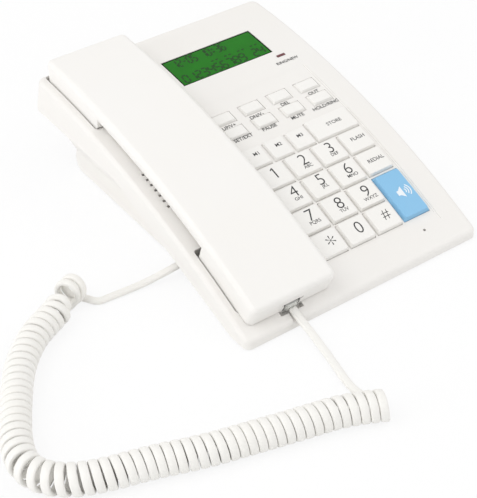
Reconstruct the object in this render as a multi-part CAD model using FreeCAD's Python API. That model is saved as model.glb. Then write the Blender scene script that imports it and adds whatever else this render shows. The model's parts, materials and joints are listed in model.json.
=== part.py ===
"""Corded landline phone: a curved desk base with keys and display, a handset in its cradle and a curly cord.

Millimetres. X points to the right of the phone, Y to its rear and Z up. The origin is on the desk, below the
middle of the base. Most of the phone is laid out along the curved top: s is the way along the key tops' arc
from the front edge, and h is the height above the body's surface there.
"""
import FreeCAD, Part
import math
import os

from FreeCAD import Placement, Rotation, Vector

# Base: outline of the curved slab and of the stand below it
HALF_WIDTH = 75.0
BODY_RADIUS = 498.0
KEY_TOP_HEIGHT = 2.0
FRONT_SLOPE = 25.9
ARC_CENTRE_Y = 113.9
ARC_CENTRE_Z = -441.8
FRONT_Y = -104.5
REAR_Y = 104.5
REAR_TOP_Y = 97.0
DECK_TILT = 0.57
FLOOR_Z = 0.8
WALL = 2.4
STAND_WALL = 2.2
FRONT_CORNER = 4.0
REAR_CORNER = 5.0
RIM_ROUNDING = 2.6

# Side view of the parting line between the two shells, and of the stand
PARTING_FRONT_Z = 2.8
PARTING_REAR_Z = 37.8
PARTING_RISE = 18.2
PARTING_START_Y = -91.3
PARTING_STRIP = 2.4
SIDE_INSET = 11.5
SIDE_LEAN = 29.0
STAND_REAR = ((79.0, FLOOR_Z), (82.0, 3.0), (83.0, 8.0), (80.8, 15.0), (75.5, 22.5), (70.0, 29.0),
              (67.8, 35.4), (REAR_Y, 35.4))

# Cradle pockets for the two cups of the handset
POCKET_X1 = -70.2
POCKET_X2 = -17.8
MOUTH_POCKET = (15.4, 56.0, -8.0)
EAR_POCKET = (151.2, 207.4, -10.0)
POCKET_WALL = 1.8
POCKET_CORNER = 1.6
CORD_CHANNEL = (-50.9, -37.1, -3.2)

# Handset
HANDSET_X1 = -69.4
HANDSET_X2 = -18.6
HANDSET_S1 = 6.4
HANDSET_S2 = 206.2
HANDSET_TOP = 14.0
HANDSET_PARTING = 5.0
GRIP_UNDERSIDE = 3.0
MOUTH_CUP = (16.2, 50.0, -7.0)
EAR_CUP = (152.2, 206.2, -9.0)
UNDERSIDE_ROUNDING = ((50.0, 3.0, 7.0), (152.2, 3.0, 2.4), (50.0, -7.0, 4.0), (152.2, -9.0, 4.0),
                      (206.2, -9.0, 3.0), (16.2, -7.0, 3.0))
HANDSET_LIP = 0.5
HANDSET_CORNER = 3.6
HANDSET_RIM = 3.0
GRIP_BELLY = (51.6, 151.0, 7.6, 0.15)
HANDSET_WALL = 2.2
HANDSET_X = (HANDSET_X1 + HANDSET_X2) / 2
HANDSET_SCREWS = (66.0, 142.0)
HANDSET_JACK = (-50.4, -37.6, 6.4, 21.0, -2.6, 6.8)
RECEIVER_S = 181.0
MICROPHONE_S = 36.0
WEIGHT_S = 104.0

# Keys: rows are given by the arc position of their front edge, columns by their left edge
KEY_TRAVEL = 1.5
KEY_CLEARANCE = 0.3
KEY_FLARE = 0.8
KEY_FLANGE = 0.55
STEM_CLEARANCE = 0.15
CAP_CHAMFER = 0.6
CAP_CORNER = 0.12
NUMBER_COLUMNS = (-12.7, 5.4, 23.5, 41.6)
NUMBER_ROWS = (69.4, 53.2, 37.0, 20.8)
NUMBER_SIZE = (14.5, 13.0)
MEMORY_S = 85.6
MEMORY_X = -12.7
MEMORY_PITCH = 14.7
MEMORY_SIZE = (10.8, 11.6)
STORE_KEY = (30.9, 85.6, 26.1, 13.2)
SPEAKER_KEY = (41.6, 21.2, 15.4, 28.6)
BAR_SIZE = (11.6, 6.5)
BAR_PITCH = 19.0
BAR_ROW_A = (-12.3, 121.0, ("key_up", "key_down", "key_delete", "key_out"))
BAR_ROW_B = (-11.8, 109.2, ("key_set", "key_pause", "key_mute", "key_hold"))

# Keypad sandwich below the keys: a flat board whose middle is at KEYPAD_S
KEYPAD_S = 73.5
DOME_TOP_DEPTH = 9.4
DOME_HEIGHT = 2.2
MAT_THICKNESS = 1.0
MAT_X = -13.6
MAT_WIDTH = 72.6
MAT_FRONT = -54.2
MAT_DEPTH = 113.2
BOARD_THICKNESS = 1.6

# Keypad panel, sunk below the display panel in two steps: its plan, and the depth of each step
KEYPAD_PANELS = ((-16.0, 60.3, 13.4, -0.25), (-15.0, 59.3, 18.2, -0.5))
KEYPAD_PANEL_REAR = 138.6
KEYPAD_PANEL_SLOPE = 2.4

# Display
WINDOW = (-9.6, 51.3, 158.0, 182.9)
WINDOW_THICKNESS = 1.5
LAMP = (50.4, 152.0, 5.6, 1.7)

# Loudspeaker slots in the cradle and the hands-free microphone's hole
SLOT_COUNT = 7
SLOT_S = 85.6
SLOT_PITCH = 4.1
SLOT_X1 = -67.0
SLOT_X2 = -24.0
SLOT_WIDTH = 1.5
LOUDSPEAKER_S = 97.9
LOUDSPEAKER_X = -45.0
MIC_HOLE = (47.5, 11.4, 0.8)

# Fasteners and feet
BASE_SCREWS = ((64.0, -74.5), (57.0, 30.0), (-30.0, -44.5), (-30.0, 30.0))
FEET = ((52.0, -84.0), (-52.0, -84.0), (50.0, 60.0), (-50.0, 60.0))
KEYHOLES = ((0.0, -62.0), (0.0, 21.0))

# Jacks: the alcove of the handset cord in the left wall, and the socket for the wall cord at the rear
ALCOVE = (-80.0, -62.0, -43.5, -27.0, 10.6)
CORD_JACK_Y = -34.5
LINE_JACK_X = 30.0
LINE_JACK_Y = 77.4

# Hook plunger, pressed by the ear cup
HOOK_X = -44.0
HOOK_S = 160.0
HOOK_SWITCH_Z = 22.0

# Cord: the flat cable is drawn with a square section whose corners lie on a circle of this size
WIRE_DIAMETER = 3.2
WIRE_SIDES = 4
COIL_RADIUS = 6.15
COIL_HEIGHT = 7.8
COIL_PITCH = 4.35
COIL_BEND_SPREAD = 7.4
HALF_TURN_STEPS = 16

# The first ring lies tilted, with its bore towards the front left, and the coil swings into line after it
FIRST_RING_TURN = -165.0
FIRST_RING_TILT = -8.0
FIRST_RING_LENGTH = 20.0
FIRST_RING_LIFT = 1.3
COIL_ROUTE = ((-125.0, -21.0), (-133.0, -24.0), (-143.0, -30.0), (-157.0, -38.5), (-173.0, -55.5),
              (-186.5, -78.5), (-196.5, -98.0), (-199.5, -114.0), (-191.0, -128.0), (-174.5, -136.5),
              (-153.0, -142.5), (-131.5, -151.0), (-107.5, -157.5), (-85.5, -163.5), (-63.0, -169.0),
              (-49.0, -177.0))

# Straight leads of the cord, from each plug to the coil
BASE_PLUG = Vector(-64.5, CORD_JACK_Y, 6.8)
BASE_LEAD = ((-71.0, -34.5, 6.8), (-82.0, -33.4, 4.2), (-94.0, -31.6, 2.2), (-104.0, -31.0, 1.7),
             (-112.3, -31.8, 1.7))
HANDSET_PLUG_S = 5.2
HANDSET_PLUG_H = 1.4
HANDSET_PLUG_X = -44.0
HANDSET_LEAD = ((-42.6, -113.5, 3.0), (-43.4, -124.0, 1.7), (-46.0, -136.0, 1.7), (-48.8, -147.0, 1.7),
                (-46.8, -155.0, 1.7), (-43.6, -161.6, 1.7))
LEAD_GAP = 0.3

os.makedirs("parts", exist_ok=True)
X_AXIS = Vector(1, 0, 0)
Z_AXIS = Vector(0, 0, 1)


def save(name, shape):
    """Writes one sub-part."""
    shape.exportStep("parts/" + name + ".step")


def slope(s):
    """Slope of the curved top in degrees at s."""
    return FRONT_SLOPE - math.degrees(s / (BODY_RADIUS + KEY_TOP_HEIGHT))


def at(s, h, x=0.0):
    """Point at s along the curved top and h above the body's surface."""
    angle = math.radians(slope(s))
    reach = BODY_RADIUS + h
    return Vector(x, ARC_CENTRE_Y - reach * math.sin(angle), ARC_CENTRE_Z + reach * math.cos(angle))


def s_at_y(y, h=0.0):
    """Arc position of the surface point at y."""
    angle = math.degrees(math.asin((ARC_CENTRE_Y - y) / (BODY_RADIUS + h)))
    return math.radians(FRONT_SLOPE - angle) * (BODY_RADIUS + KEY_TOP_HEIGHT)


def deck_z(y, h=0.0):
    """Height at y of the deck, or of a surface h above it: the key tops' arc tilted about its front edge."""
    pivot = at(0.0, 0.0)
    arm = Vector(0, ARC_CENTRE_Y, ARC_CENTRE_Z) - pivot
    centre = pivot + Rotation(X_AXIS, DECK_TILT).multVec(arm)
    return centre.z + math.sqrt((BODY_RADIUS + h) ** 2 - (y - centre.y) ** 2)


def deck_rise(s):
    """How far the deck rises above the key tops' arc at s, by its tilt."""
    return math.radians(DECK_TILT) * s


def on_deck(shape):
    """Tilts a shape that was laid out along the key tops' arc onto the deck."""
    placed = shape.copy()
    placed.rotate(at(0.0, 0.0), X_AXIS, DECK_TILT)
    return placed


def box(x1, x2, y1, y2, z1, z2):
    """Block between two corners."""
    return Part.makeBox(x2 - x1, y2 - y1, z2 - z1, Vector(x1, y1, z1))


def upright(radius, x, y, z1, z2):
    """Vertical cylinder."""
    return Part.makeCylinder(radius, z2 - z1, Vector(x, y, z1))


def tilted(shape, s, h, x=0.0):
    """Puts a shape that was made round the origin on the tangent plane of the curved top."""
    placed = shape.copy()
    placed.Placement = Placement(at(s, h, x), Rotation(X_AXIS, slope(s))).multiply(shape.Placement)
    return placed


def curved_face(points):
    """Face in the side view from (s, h) points: equal heights are joined by arcs, the rest by lines."""
    edges = []
    for (s1, h1), (s2, h2) in zip(points, points[1:] + points[:1]):
        if h1 == h2:
            edges.append(Part.Arc(at(s1, h1), at((s1 + s2) / 2, h1), at(s2, h2)).toShape())
        else:
            edges.append(Part.LineSegment(at(s1, h1), at(s2, h2)).toShape())
    return Part.Face(Part.Wire(edges))


def curved_block(x1, x2, points):
    """Solid with a curved side view, carried along X."""
    face = curved_face(list(points))
    face.translate(Vector(x1, 0, 0))
    return face.extrude(Vector(x2 - x1, 0, 0))


def sector(x1, x2, s1, s2, h1, h2):
    """Block between two heights over the curved top."""
    return curved_block(x1, x2, ((s1, h1), (s2, h1), (s2, h2), (s1, h2)))


def plane_block(x1, x2, points):
    """Solid from a straight-sided side view of (y, z) points, carried along X."""
    outline = [Vector(x1, y, z) for y, z in points]
    return Part.Face(Part.makePolygon(outline + outline[:1])).extrude(Vector(x2 - x1, 0, 0))


def edges_where(shape, test):
    """Edges whose middle and direction pass a test."""
    found = []
    for edge in shape.Edges:
        middle = edge.valueAt((edge.FirstParameter + edge.LastParameter) / 2)
        if test(edge, middle):
            found.append(edge)
    return found


def along_x(edge):
    """True for an edge that runs along X."""
    first, last = edge.Vertexes[0].Point, edge.Vertexes[-1].Point
    return abs(first.y - last.y) < 1e-4 and abs(first.z - last.z) < 1e-4


def in_side_view(edge):
    """True for an edge that lies in a plane of constant X."""
    first, last = edge.Vertexes[0].Point, edge.Vertexes[-1].Point
    return abs(first.x - last.x) < 1e-4


def height_over_top(point):
    """Height of a point above the curved top."""
    return math.hypot(point.y - ARC_CENTRE_Y, point.z - ARC_CENTRE_Z) - BODY_RADIUS


# Base shells

def parting_points(offset=0.0):
    """Side view of the parting line from front to rear."""
    knee_y = PARTING_START_Y + (PARTING_REAR_Z - PARTING_FRONT_Z) / math.tan(math.radians(PARTING_RISE))
    return [(PARTING_START_Y, PARTING_FRONT_Z + offset), (knee_y, PARTING_REAR_Z + offset)]


def slab_profile(inset, below):
    """Side view of the slab above the parting line.

    inset moves its walls inwards and below lowers its underside.
    """
    front_y = FRONT_Y + inset
    rear_y = REAR_TOP_Y - inset
    middle_y = (front_y + rear_y) / 2
    front, middle, rear = [Vector(0, y, deck_z(y, -inset)) for y in (front_y, middle_y, rear_y)]
    start, knee = parting_points(-below)
    lean = (REAR_Y - REAR_TOP_Y) / (rear.z - PARTING_REAR_Z)
    rear_low_y = REAR_Y - inset + lean * below
    path = [front, Vector(0, front_y, start[1]), Vector(0, start[0], start[1]), Vector(0, knee[0], knee[1]),
            Vector(0, rear_low_y, knee[1]), rear]
    edges = [Part.LineSegment(a, b).toShape() for a, b in zip(path, path[1:])]
    edges.append(Part.Arc(rear, middle, front).toShape())
    return Part.Face(Part.Wire(edges))


def slab(inset, below):
    """The slab as a solid with rounded corners."""
    half = HALF_WIDTH - inset
    face = slab_profile(inset, below)
    face.translate(Vector(-half, 0, 0))
    block = face.extrude(Vector(2 * half, 0, 0))

    def front_corner(edge, m):
        return in_side_view(edge) and m.y < FRONT_Y + inset + 0.1

    def rear_corner(edge, m):
        return in_side_view(edge) and m.y > REAR_TOP_Y - inset - 0.5 and m.z > PARTING_REAR_Z - below + 1

    block = block.makeFillet(FRONT_CORNER - inset, edges_where(block, front_corner))
    return block.makeFillet(REAR_CORNER - inset, edges_where(block, rear_corner))


def all_keys():
    """Name, left edge, front edge, width and depth of each key."""
    names = (("key_1", "key_2", "key_3", "key_flash"), ("key_4", "key_5", "key_6", "key_redial"),
             ("key_7", "key_8", "key_9", ""), ("key_star", "key_0", "key_hash", ""))
    keys = []
    for row, s in zip(names, NUMBER_ROWS):
        for name, x in zip(row, NUMBER_COLUMNS):
            if name:
                keys.append((name, x, s) + NUMBER_SIZE)
    for i in range(3):
        keys.append(("key_m%d" % (i + 1), MEMORY_X + i * MEMORY_PITCH, MEMORY_S) + MEMORY_SIZE)
    keys.append(("key_store",) + STORE_KEY)
    keys.append(("key_speaker",) + SPEAKER_KEY)
    for left, s, row in (BAR_ROW_A, BAR_ROW_B):
        for i, name in enumerate(row):
            keys.append((name, left + i * BAR_PITCH, s) + BAR_SIZE)
    return keys


def dome_depth(s):
    """Depth of the keypad's dome tops below the body's surface at s."""
    return DOME_TOP_DEPTH - (s - KEYPAD_S) ** 2 / (2 * BODY_RADIUS)


def rectangle(width, depth, z, corner=0.0):
    """Points of a rectangle round the origin, with its corners cut off at 45 degrees."""
    x, y = width / 2, depth / 2
    if corner == 0:
        return [Vector(-x, -y, z), Vector(x, -y, z), Vector(x, y, z), Vector(-x, y, z)]
    return [Vector(-x + corner, -y, z), Vector(x - corner, -y, z), Vector(x, -y + corner, z),
            Vector(x, y - corner, z), Vector(x - corner, y, z), Vector(-x + corner, y, z),
            Vector(-x, y - corner, z), Vector(-x, -y + corner, z)]


def flat_sided(rings):
    """Solid through rings of points, each side of it flat."""
    outlines = [rings[0], rings[-1]]
    for low, high in zip(rings, rings[1:]):
        for i in range(len(low)):
            j = (i + 1) % len(low)
            outlines.append([low[i], low[j], high[j], high[i]])
    faces = [Part.Face(Part.makePolygon(outline + outline[:1])) for outline in outlines]
    skin = Part.makeShell(faces)
    skin.sewShape()
    solid = Part.makeSolid(skin)
    if solid.Volume < 0:
        solid.reverse()
    return solid


def chamfered_cap(width, depth, flare, height, chamfer):
    """Key cap round the origin: flared sides and a chamfered top edge."""
    rings = []
    for out, z in ((flare, 0.0), (chamfer * 0.6, height - chamfer), (0.0, height)):
        w = width + 2 * out
        d = depth + 2 * out
        rings.append(rectangle(w, d, z, min(w, d) * CAP_CORNER))
    return flat_sided(rings)


def frustum(low_width, high_width, height):
    """Four-sided dome round the origin."""
    return flat_sided([rectangle(low_width, low_width, 0.0), rectangle(high_width, high_width, height)])


def make_key(name, left, front, width, depth):
    """One key: cap above the body, shank through it, flange below it and a stem down to its dome."""
    x = left + width / 2
    s = front + depth / 2
    cap_foot = deck_rise(s) + KEYPAD_PANELS[-1][-1]
    half_reach = depth / 2 + KEY_FLARE + KEY_FLANGE
    fall = half_reach ** 2 / (2 * BODY_RADIUS) + math.radians(DECK_TILT) * half_reach
    shank_foot = deck_rise(s) - WALL - fall - 0.2
    cap = chamfered_cap(width, depth, KEY_FLARE, KEY_TOP_HEIGHT - cap_foot, CAP_CHAMFER)
    cap.translate(Vector(0, 0, cap_foot))
    shank_w = width + 2 * KEY_FLARE
    shank_d = depth + 2 * KEY_FLARE
    shank_place = Vector(-shank_w / 2, -shank_d / 2, shank_foot)
    shank = Part.makeBox(shank_w, shank_d, cap_foot - shank_foot, shank_place)
    flange_w = shank_w + 2 * KEY_FLANGE
    flange_d = shank_d + 2 * KEY_FLANGE
    flange = Part.makeBox(flange_w, flange_d, 0.9, Vector(-flange_w / 2, -flange_d / 2, shank_foot - 0.9))
    stem_w = min(width, 10.0) * 0.5
    stem_d = min(depth, 10.0) * 0.5
    lean = stem_d / 2 * abs(s - KEYPAD_S) / BODY_RADIUS
    stem_foot = -dome_depth(s) + KEY_TRAVEL + STEM_CLEARANCE + lean
    stem_place = Vector(-stem_w / 2, -stem_d / 2, stem_foot)
    stem = Part.makeBox(stem_w, stem_d, shank_foot - stem_foot - 0.3, stem_place)
    return tilted(cap.fuse([shank, flange, stem]).removeSplitter(), s, 0.0, x)


def make_key_hole(left, front, width, depth):
    """Opening for a key's shank in the top shell."""
    w = width + 2 * KEY_FLARE + 2 * KEY_CLEARANCE
    d = depth + 2 * KEY_FLARE + 2 * KEY_CLEARANCE
    hole = Part.makeBox(w, d, 12.0, Vector(-w / 2, -d / 2, -6.0))
    return tilted(hole, front + depth / 2, 0.0, left + width / 2)


def pocket_floor(pocket):
    """Outer and inner solids of one cradle pocket."""
    s1, s2, depth = pocket
    rim = deck_rise((s1 + s2) / 2) - WALL / 2
    tub = sector(POCKET_X1 - POCKET_WALL, POCKET_X2 + POCKET_WALL, s1 - POCKET_WALL, s2 + POCKET_WALL,
                 depth - POCKET_WALL, rim)
    hollow = sector(POCKET_X1, POCKET_X2, s1, s2, depth, 6.0)

    def upright_edge(edge, m):
        at_corner = m.x < POCKET_X1 + 0.1 or m.x > POCKET_X2 - 0.1
        return in_side_view(edge) and at_corner and -5.5 < height_over_top(m) < 1

    return tub, hollow.makeFillet(POCKET_CORNER, edges_where(hollow, upright_edge))


def keypad_panel_cut(x1, x2, s1, depth):
    """What is cut for one step of the keypad panel, with a slanted wall up to the display panel."""
    top = 3.0
    s2 = KEYPAD_PANEL_REAR + (top - depth) * KEYPAD_PANEL_SLOPE
    return on_deck(curved_block(x1, x2, ((s1, depth), (KEYPAD_PANEL_REAR, depth), (s2, top), (s1, top))))


def make_top_shell():
    """Curved slab with its rim, key holes, display recess, cradle pockets, slots and screw bosses."""
    outer = slab(0.0, 0.0)
    rim = edges_where(outer, lambda edge, m: m.z > deck_z(m.y) - 0.6)
    outer = outer.makeFillet(RIM_ROUNDING, rim)
    shell = outer.cut(slab(WALL, 8.0))
    mouth_tub, mouth_hollow = pocket_floor(MOUTH_POCKET)
    ear_tub, ear_hollow = pocket_floor(EAR_POCKET)
    channel_x1, channel_x2, channel_h = CORD_CHANNEL
    channel_tub = sector(channel_x1 - POCKET_WALL, channel_x2 + POCKET_WALL, 2.0, MOUTH_POCKET[0] - 0.5,
                         channel_h - POCKET_WALL, -1.0)
    channel = sector(channel_x1, channel_x2, 3.8, MOUTH_POCKET[0] + 1.0, channel_h, 6.0)
    cord_notch = sector(-46.6, -41.4, -6.0, 5.0, -0.9, 6.0)
    bosses = []
    for x, y in BASE_SCREWS:
        bosses.append(upright(3.4, x, y, 8.0, deck_z(y) - 1.0))
    additions = [part.common(outer) for part in (mouth_tub, ear_tub, channel_tub)]
    additions += [boss.common(outer.fuse(slab(WALL, 30.0))) for boss in bosses]
    shell = shell.fuse(additions)
    cuts = [mouth_hollow, ear_hollow, channel, cord_notch]
    cuts += [keypad_panel_cut(*panel) for panel in KEYPAD_PANELS]
    for name, left, front, width, depth in all_keys():
        cuts.append(make_key_hole(left, front, width, depth))
    x1, x2, s1, s2 = WINDOW
    cuts.append(on_deck(sector(x1, x2, s1, s2, -WINDOW_THICKNESS - 0.3, 3.0)))
    cuts.append(on_deck(sector(x1 + 3, x2 - 3, s1 + 3, s2 - 3, -6.0, 3.0)))
    lamp_x, lamp_s, lamp_w, lamp_d = LAMP
    cuts.append(on_deck(sector(lamp_x, lamp_x + lamp_w, lamp_s, lamp_s + lamp_d, -6.0, 3.0)))
    for i in range(SLOT_COUNT):
        s = SLOT_S + i * SLOT_PITCH
        cuts.append(on_deck(sector(SLOT_X1, SLOT_X2, s - SLOT_WIDTH / 2, s + SLOT_WIDTH / 2, -6.0, 3.0)))
    mic_x, mic_s, mic_r = MIC_HOLE
    cuts.append(on_deck(tilted(Part.makeCylinder(mic_r, 8.0, Vector(0, 0, -5.0)), mic_s, 0.0, mic_x)))
    cuts.append(make_hook_hole())
    for x, y in BASE_SCREWS:
        cuts.append(upright(1.3, x, y, 0.0, deck_z(y) - 3.4))
    return shell.cut(cuts)


def stand_cutter(side):
    """What is cut from one side of the stand: everything outside its leaning wall."""
    drop = SIDE_INSET / math.tan(math.radians(SIDE_LEAN))
    start, knee = parting_points(-PARTING_STRIP)
    ahead = 40.0
    below = -60.0
    outline = [(start[0] - ahead, start[1] - ahead * math.tan(math.radians(PARTING_RISE))), start, knee,
               (REAR_Y + 5, knee[1]), (REAR_Y + 5, below), (start[0] - ahead, below)]
    points = [Vector(side * HALF_WIDTH, y, z) for y, z in outline]
    face = Part.Face(Part.makePolygon(points + points[:1]))
    return face.extrude(Vector(-side * SIDE_INSET, 0, -drop))


def moved_left(points, distance):
    """Inner points of a line of (y, z) points after each of its runs has moved to its left-hand side."""
    moved = []
    for before, corner, after in zip(points, points[1:], points[2:]):
        normals = []
        for a, b in ((before, corner), (corner, after)):
            run = Vector(0, b[0] - a[0], b[1] - a[1]).normalize()
            normals.append(Vector(0, -run.z, run.y))
        way = (normals[0] + normals[1]) * (distance / (1 + normals[0].dot(normals[1])))
        moved.append((corner[0] + way.y, corner[1] + way.z))
    return moved


def stand_block(inset, above):
    """The stand below the parting line. inset moves its walls inwards, above raises its top."""
    half = HALF_WIDTH - inset
    start, knee = parting_points(above)
    rear = moved_left([(0, FLOOR_Z)] + list(STAND_REAR) + [(REAR_Y, 2 * PARTING_REAR_Z)], inset)
    outline = [(FRONT_Y + inset, FLOOR_Z + inset), (FRONT_Y + inset, start[1]), start, knee,
               (REAR_Y - inset, knee[1])] + rear[::-1]
    block = plane_block(-half, half, outline)

    def front_corner(edge, m):
        return in_side_view(edge) and m.y < FRONT_Y + inset + 0.1

    def rear_corner(edge, m):
        return in_side_view(edge) and m.y > REAR_Y - inset - 0.1 and m.z > 30

    block = block.makeFillet(FRONT_CORNER - inset, edges_where(block, front_corner))
    block = block.makeFillet(REAR_CORNER - inset, edges_where(block, rear_corner))
    for side in (-1, 1):
        cutter = stand_cutter(side)
        cutter.translate(Vector(-side * inset * 1.1, 0, 0))
        block = block.cut(cutter)
        outside = box(half - SIDE_INSET, half + 5, FRONT_Y - 1, REAR_Y + 1, -80, -50)
        if side < 0:
            outside = outside.mirror(Vector(0, 0, 0), X_AXIS)
        block = block.cut(outside)
    return block


def make_bottom_shell():
    """Hollow stand with leaning side walls, jack alcove, screw posts, keyholes and foot recesses."""
    outer = stand_block(0.0, 0.0)
    shell = outer.cut(stand_block(STAND_WALL, 20.0))
    x1, x2, y1, y2, top = ALCOVE
    alcove_wall = box(x1, x2 + 1.8, y1 - 1.8, y2 + 1.8, FLOOR_Z, top + 1.8).common(outer)
    floor_y2 = STAND_REAR[0][0] - 0.5
    shell = shell.fuse([alcove_wall, box(-50, 50, -90, floor_y2, FLOOR_Z, FLOOR_Z + STAND_WALL)])
    posts = []
    for x, y in BASE_SCREWS:
        parting_z = min(8.0, at(s_at_y(y), 0).z - 10.0)
        posts.append(upright(3.4, x, y, FLOOR_Z, parting_z).common(outer.fuse(slab(WALL, 0.0))))
    switch_y = at(HOOK_S, 0).y
    posts.append(box(HOOK_X - 9, HOOK_X + 9, switch_y - 4, switch_y + 4, FLOOR_Z, HOOK_SWITCH_Z))
    shell = shell.fuse(posts)
    cuts = [box(x1, x2, y1, y2, -5.0, top)]
    cuts.append(box(x1, x2 + 4.0, -39.0, -30.0, 2.8, 9.6))
    for x, y in BASE_SCREWS:
        cuts.append(upright(2.9, x, y, -1.0, 3.4))
        cuts.append(upright(1.6, x, y, -1.0, 40.0))
    for x, y in FEET:
        cuts.append(upright(6.1, x, y, -1.0, 1.7))
    for x, y in KEYHOLES:
        cuts.append(upright(4.0, x, y, -1.0, 4.0))
        cuts.append(box(x - 2.1, x + 2.1, y, y + 9.0, -1.0, 4.0))
    cuts.append(box(LINE_JACK_X - 6.2, LINE_JACK_X + 6.2, LINE_JACK_Y - 3.0, LINE_JACK_Y + 8.0, 4.4, 15.6))
    return shell.cut(cuts)


def hook_centre_y():
    """Where the plunger stands."""
    return at(HOOK_S, EAR_POCKET[2]).y


def make_hook_hole():
    """Opening for the plunger in the ear pocket's floor."""
    y = hook_centre_y()
    z = at(HOOK_S, EAR_POCKET[2]).z
    return box(HOOK_X - 2.8, HOOK_X + 2.8, y - 2.8, y + 2.8, z - 6, z + 4)


def make_hook_plunger():
    """Square pin with a sloped head, and a flange that stops it under the pocket's floor."""
    y = hook_centre_y()
    head_z = at(HOOK_S, EAR_CUP[2]).z - 1.0
    pin = box(HOOK_X - 2.5, HOOK_X + 2.5, y - 2.5, y + 2.5, 32.4, head_z)
    flange = box(HOOK_X - 4, HOOK_X + 4, y - 4, y + 4, 32.4, 33.4)
    pin = pin.makeChamfer(0.6, edges_where(pin, lambda edge, m: m.z > head_z - 0.01))
    return pin.fuse(flange)


def make_hook_switch():
    """Snap switch with its lever, below the plunger."""
    y = hook_centre_y()
    body = box(HOOK_X - 10, HOOK_X + 10, y - 3.2, y + 3.2, HOOK_SWITCH_Z, HOOK_SWITCH_Z + 8.4)
    lever = box(HOOK_X - 9, HOOK_X + 7, y - 2.0, y + 2.0, HOOK_SWITCH_Z + 9.6, HOOK_SWITCH_Z + 10.1)
    hinge = box(HOOK_X - 9, HOOK_X - 7.5, y - 2.0, y + 2.0, HOOK_SWITCH_Z + 8.0, HOOK_SWITCH_Z + 10.1)
    return body.fuse([lever, hinge])


# Inner pieces of the base

def keypad_plane(shape):
    """Puts a shape made round the origin on the keypad's flat board, with its top at the dome tops."""
    return tilted(shape, KEYPAD_S, -DOME_TOP_DEPTH)


def make_membrane():
    """Rubber mat with one dome below each key."""
    underside = -DOME_HEIGHT - MAT_THICKNESS
    mat = Part.makeBox(MAT_WIDTH, MAT_DEPTH, MAT_THICKNESS, Vector(MAT_X, MAT_FRONT, underside))
    domes = []
    for name, left, front, width, depth in all_keys():
        along = front + depth / 2 - KEYPAD_S
        small = min(width, depth)
        dome = frustum(small * 0.8, small * 0.5, DOME_HEIGHT + 0.2)
        dome.translate(Vector(left + width / 2, along, -DOME_HEIGHT - 0.2))
        domes.append(dome)
    return keypad_plane(mat.fuse(domes))


def make_keypad_board():
    """Flat circuit board below the mat."""
    underside = -DOME_HEIGHT - MAT_THICKNESS - BOARD_THICKNESS
    board = Part.makeBox(MAT_WIDTH, MAT_DEPTH, BOARD_THICKNESS, Vector(MAT_X, MAT_FRONT, underside))
    return keypad_plane(board)


def make_main_board():
    """Main circuit board on the floor of the stand, with its tallest components and four pegs."""
    board = box(-8, 48, -18, 52, 8.0, 9.6)
    chips = [box(0, 14, 0, 14, 9.6, 11.4), box(22, 30, 20, 34, 9.6, 15.0), upright(3.2, 38, 5, 9.6, 17.0),
             upright(3.2, 38, -6, 9.6, 17.0)]
    pegs = [upright(2.0, x, y, FLOOR_Z + STAND_WALL, 8.0) for x in (-4, 44) for y in (-14, 48)]
    return board.fuse(chips + pegs)


def make_display_window():
    """Green window, flush with the body and curved with it."""
    x1, x2, s1, s2 = WINDOW
    return on_deck(sector(x1 + 0.1, x2 - 0.1, s1 + 0.1, s2 - 0.1, -WINDOW_THICKNESS - 0.3, -0.3))


def make_display_module():
    """Liquid crystal display in its frame, below the window."""
    x1, x2, s1, s2 = WINDOW
    width = x2 - x1 + 7
    depth = s2 - s1 + 7
    frame = Part.makeBox(width, depth, 4.0, Vector(-width / 2, -depth / 2, -4.0))
    glass = Part.makeBox(width - 16, depth - 14, 0.8, Vector(8 - width / 2, 7 - depth / 2, 0))
    board = Part.makeBox(width + 3, depth + 3, 1.6, Vector(-width / 2 - 1.5, -depth / 2 - 1.5, -5.6))
    return on_deck(tilted(frame.fuse([glass, board]), (s1 + s2) / 2, -WALL - 0.5, (x1 + x2) / 2))


def make_indicator_lens():
    """Small red lens set in the body."""
    lamp_x, lamp_s, lamp_w, lamp_d = LAMP

    def around(margin, low, high):
        return sector(lamp_x - margin, lamp_x + lamp_w + margin, lamp_s - margin, lamp_s + lamp_d + margin,
                      low, high)

    return on_deck(around(-0.05, -WALL, 0.35).fuse(around(0.4, -WALL - 1.0, -WALL)))


def make_loudspeaker():
    """Loudspeaker facing the slots: rim, cone basket and magnet, turned about its axis."""
    profile = [(0, -3.8), (20, -3.8), (21.5, -3.3), (25, -3.3), (25, -4.8), (22, -4.8), (13, -11.8),
               (11, -11.8), (11, -16.8), (0, -16.8)]
    outline = [Vector(r, 0, z) for r, z in profile]
    body = Part.Face(Part.makePolygon(outline + outline[:1])).revolve(Vector(0, 0, 0), Z_AXIS, 360)
    return on_deck(tilted(body, LOUDSPEAKER_S, 0.0, LOUDSPEAKER_X))


def make_base_microphone():
    """Microphone capsule below its hole."""
    mic_x, mic_s, mic_r = MIC_HOLE
    return on_deck(tilted(Part.makeCylinder(3.0, 2.6, Vector(0, 0, -WALL - 2.7)), mic_s, 0.0, mic_x))


def make_modular_jack(width, depth, height, socket_w, socket_h):
    """Jack round the origin: its face at x=0 looks along -X, and its contacts lie in the socket's roof."""
    body = Part.makeBox(depth, width, height, Vector(0, -width / 2, 0))
    z1 = (height - socket_h) / 2
    socket = Part.makeBox(depth - 2.0, socket_w, socket_h, Vector(-1, -socket_w / 2, z1))
    latch = Part.makeBox(depth - 4.0, socket_w * 0.5, 0.9, Vector(-1, -socket_w / 4, z1 - 0.8))
    body = body.cut([socket, latch])
    contacts = []
    for i in range(4):
        y = (i - 1.5) * 1.1
        contacts.append(Part.makeBox(5.0, 0.5, 0.5, Vector(depth - 8.0, y - 0.25, z1 + socket_h - 0.3)))
    return body.fuse(contacts)


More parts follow.
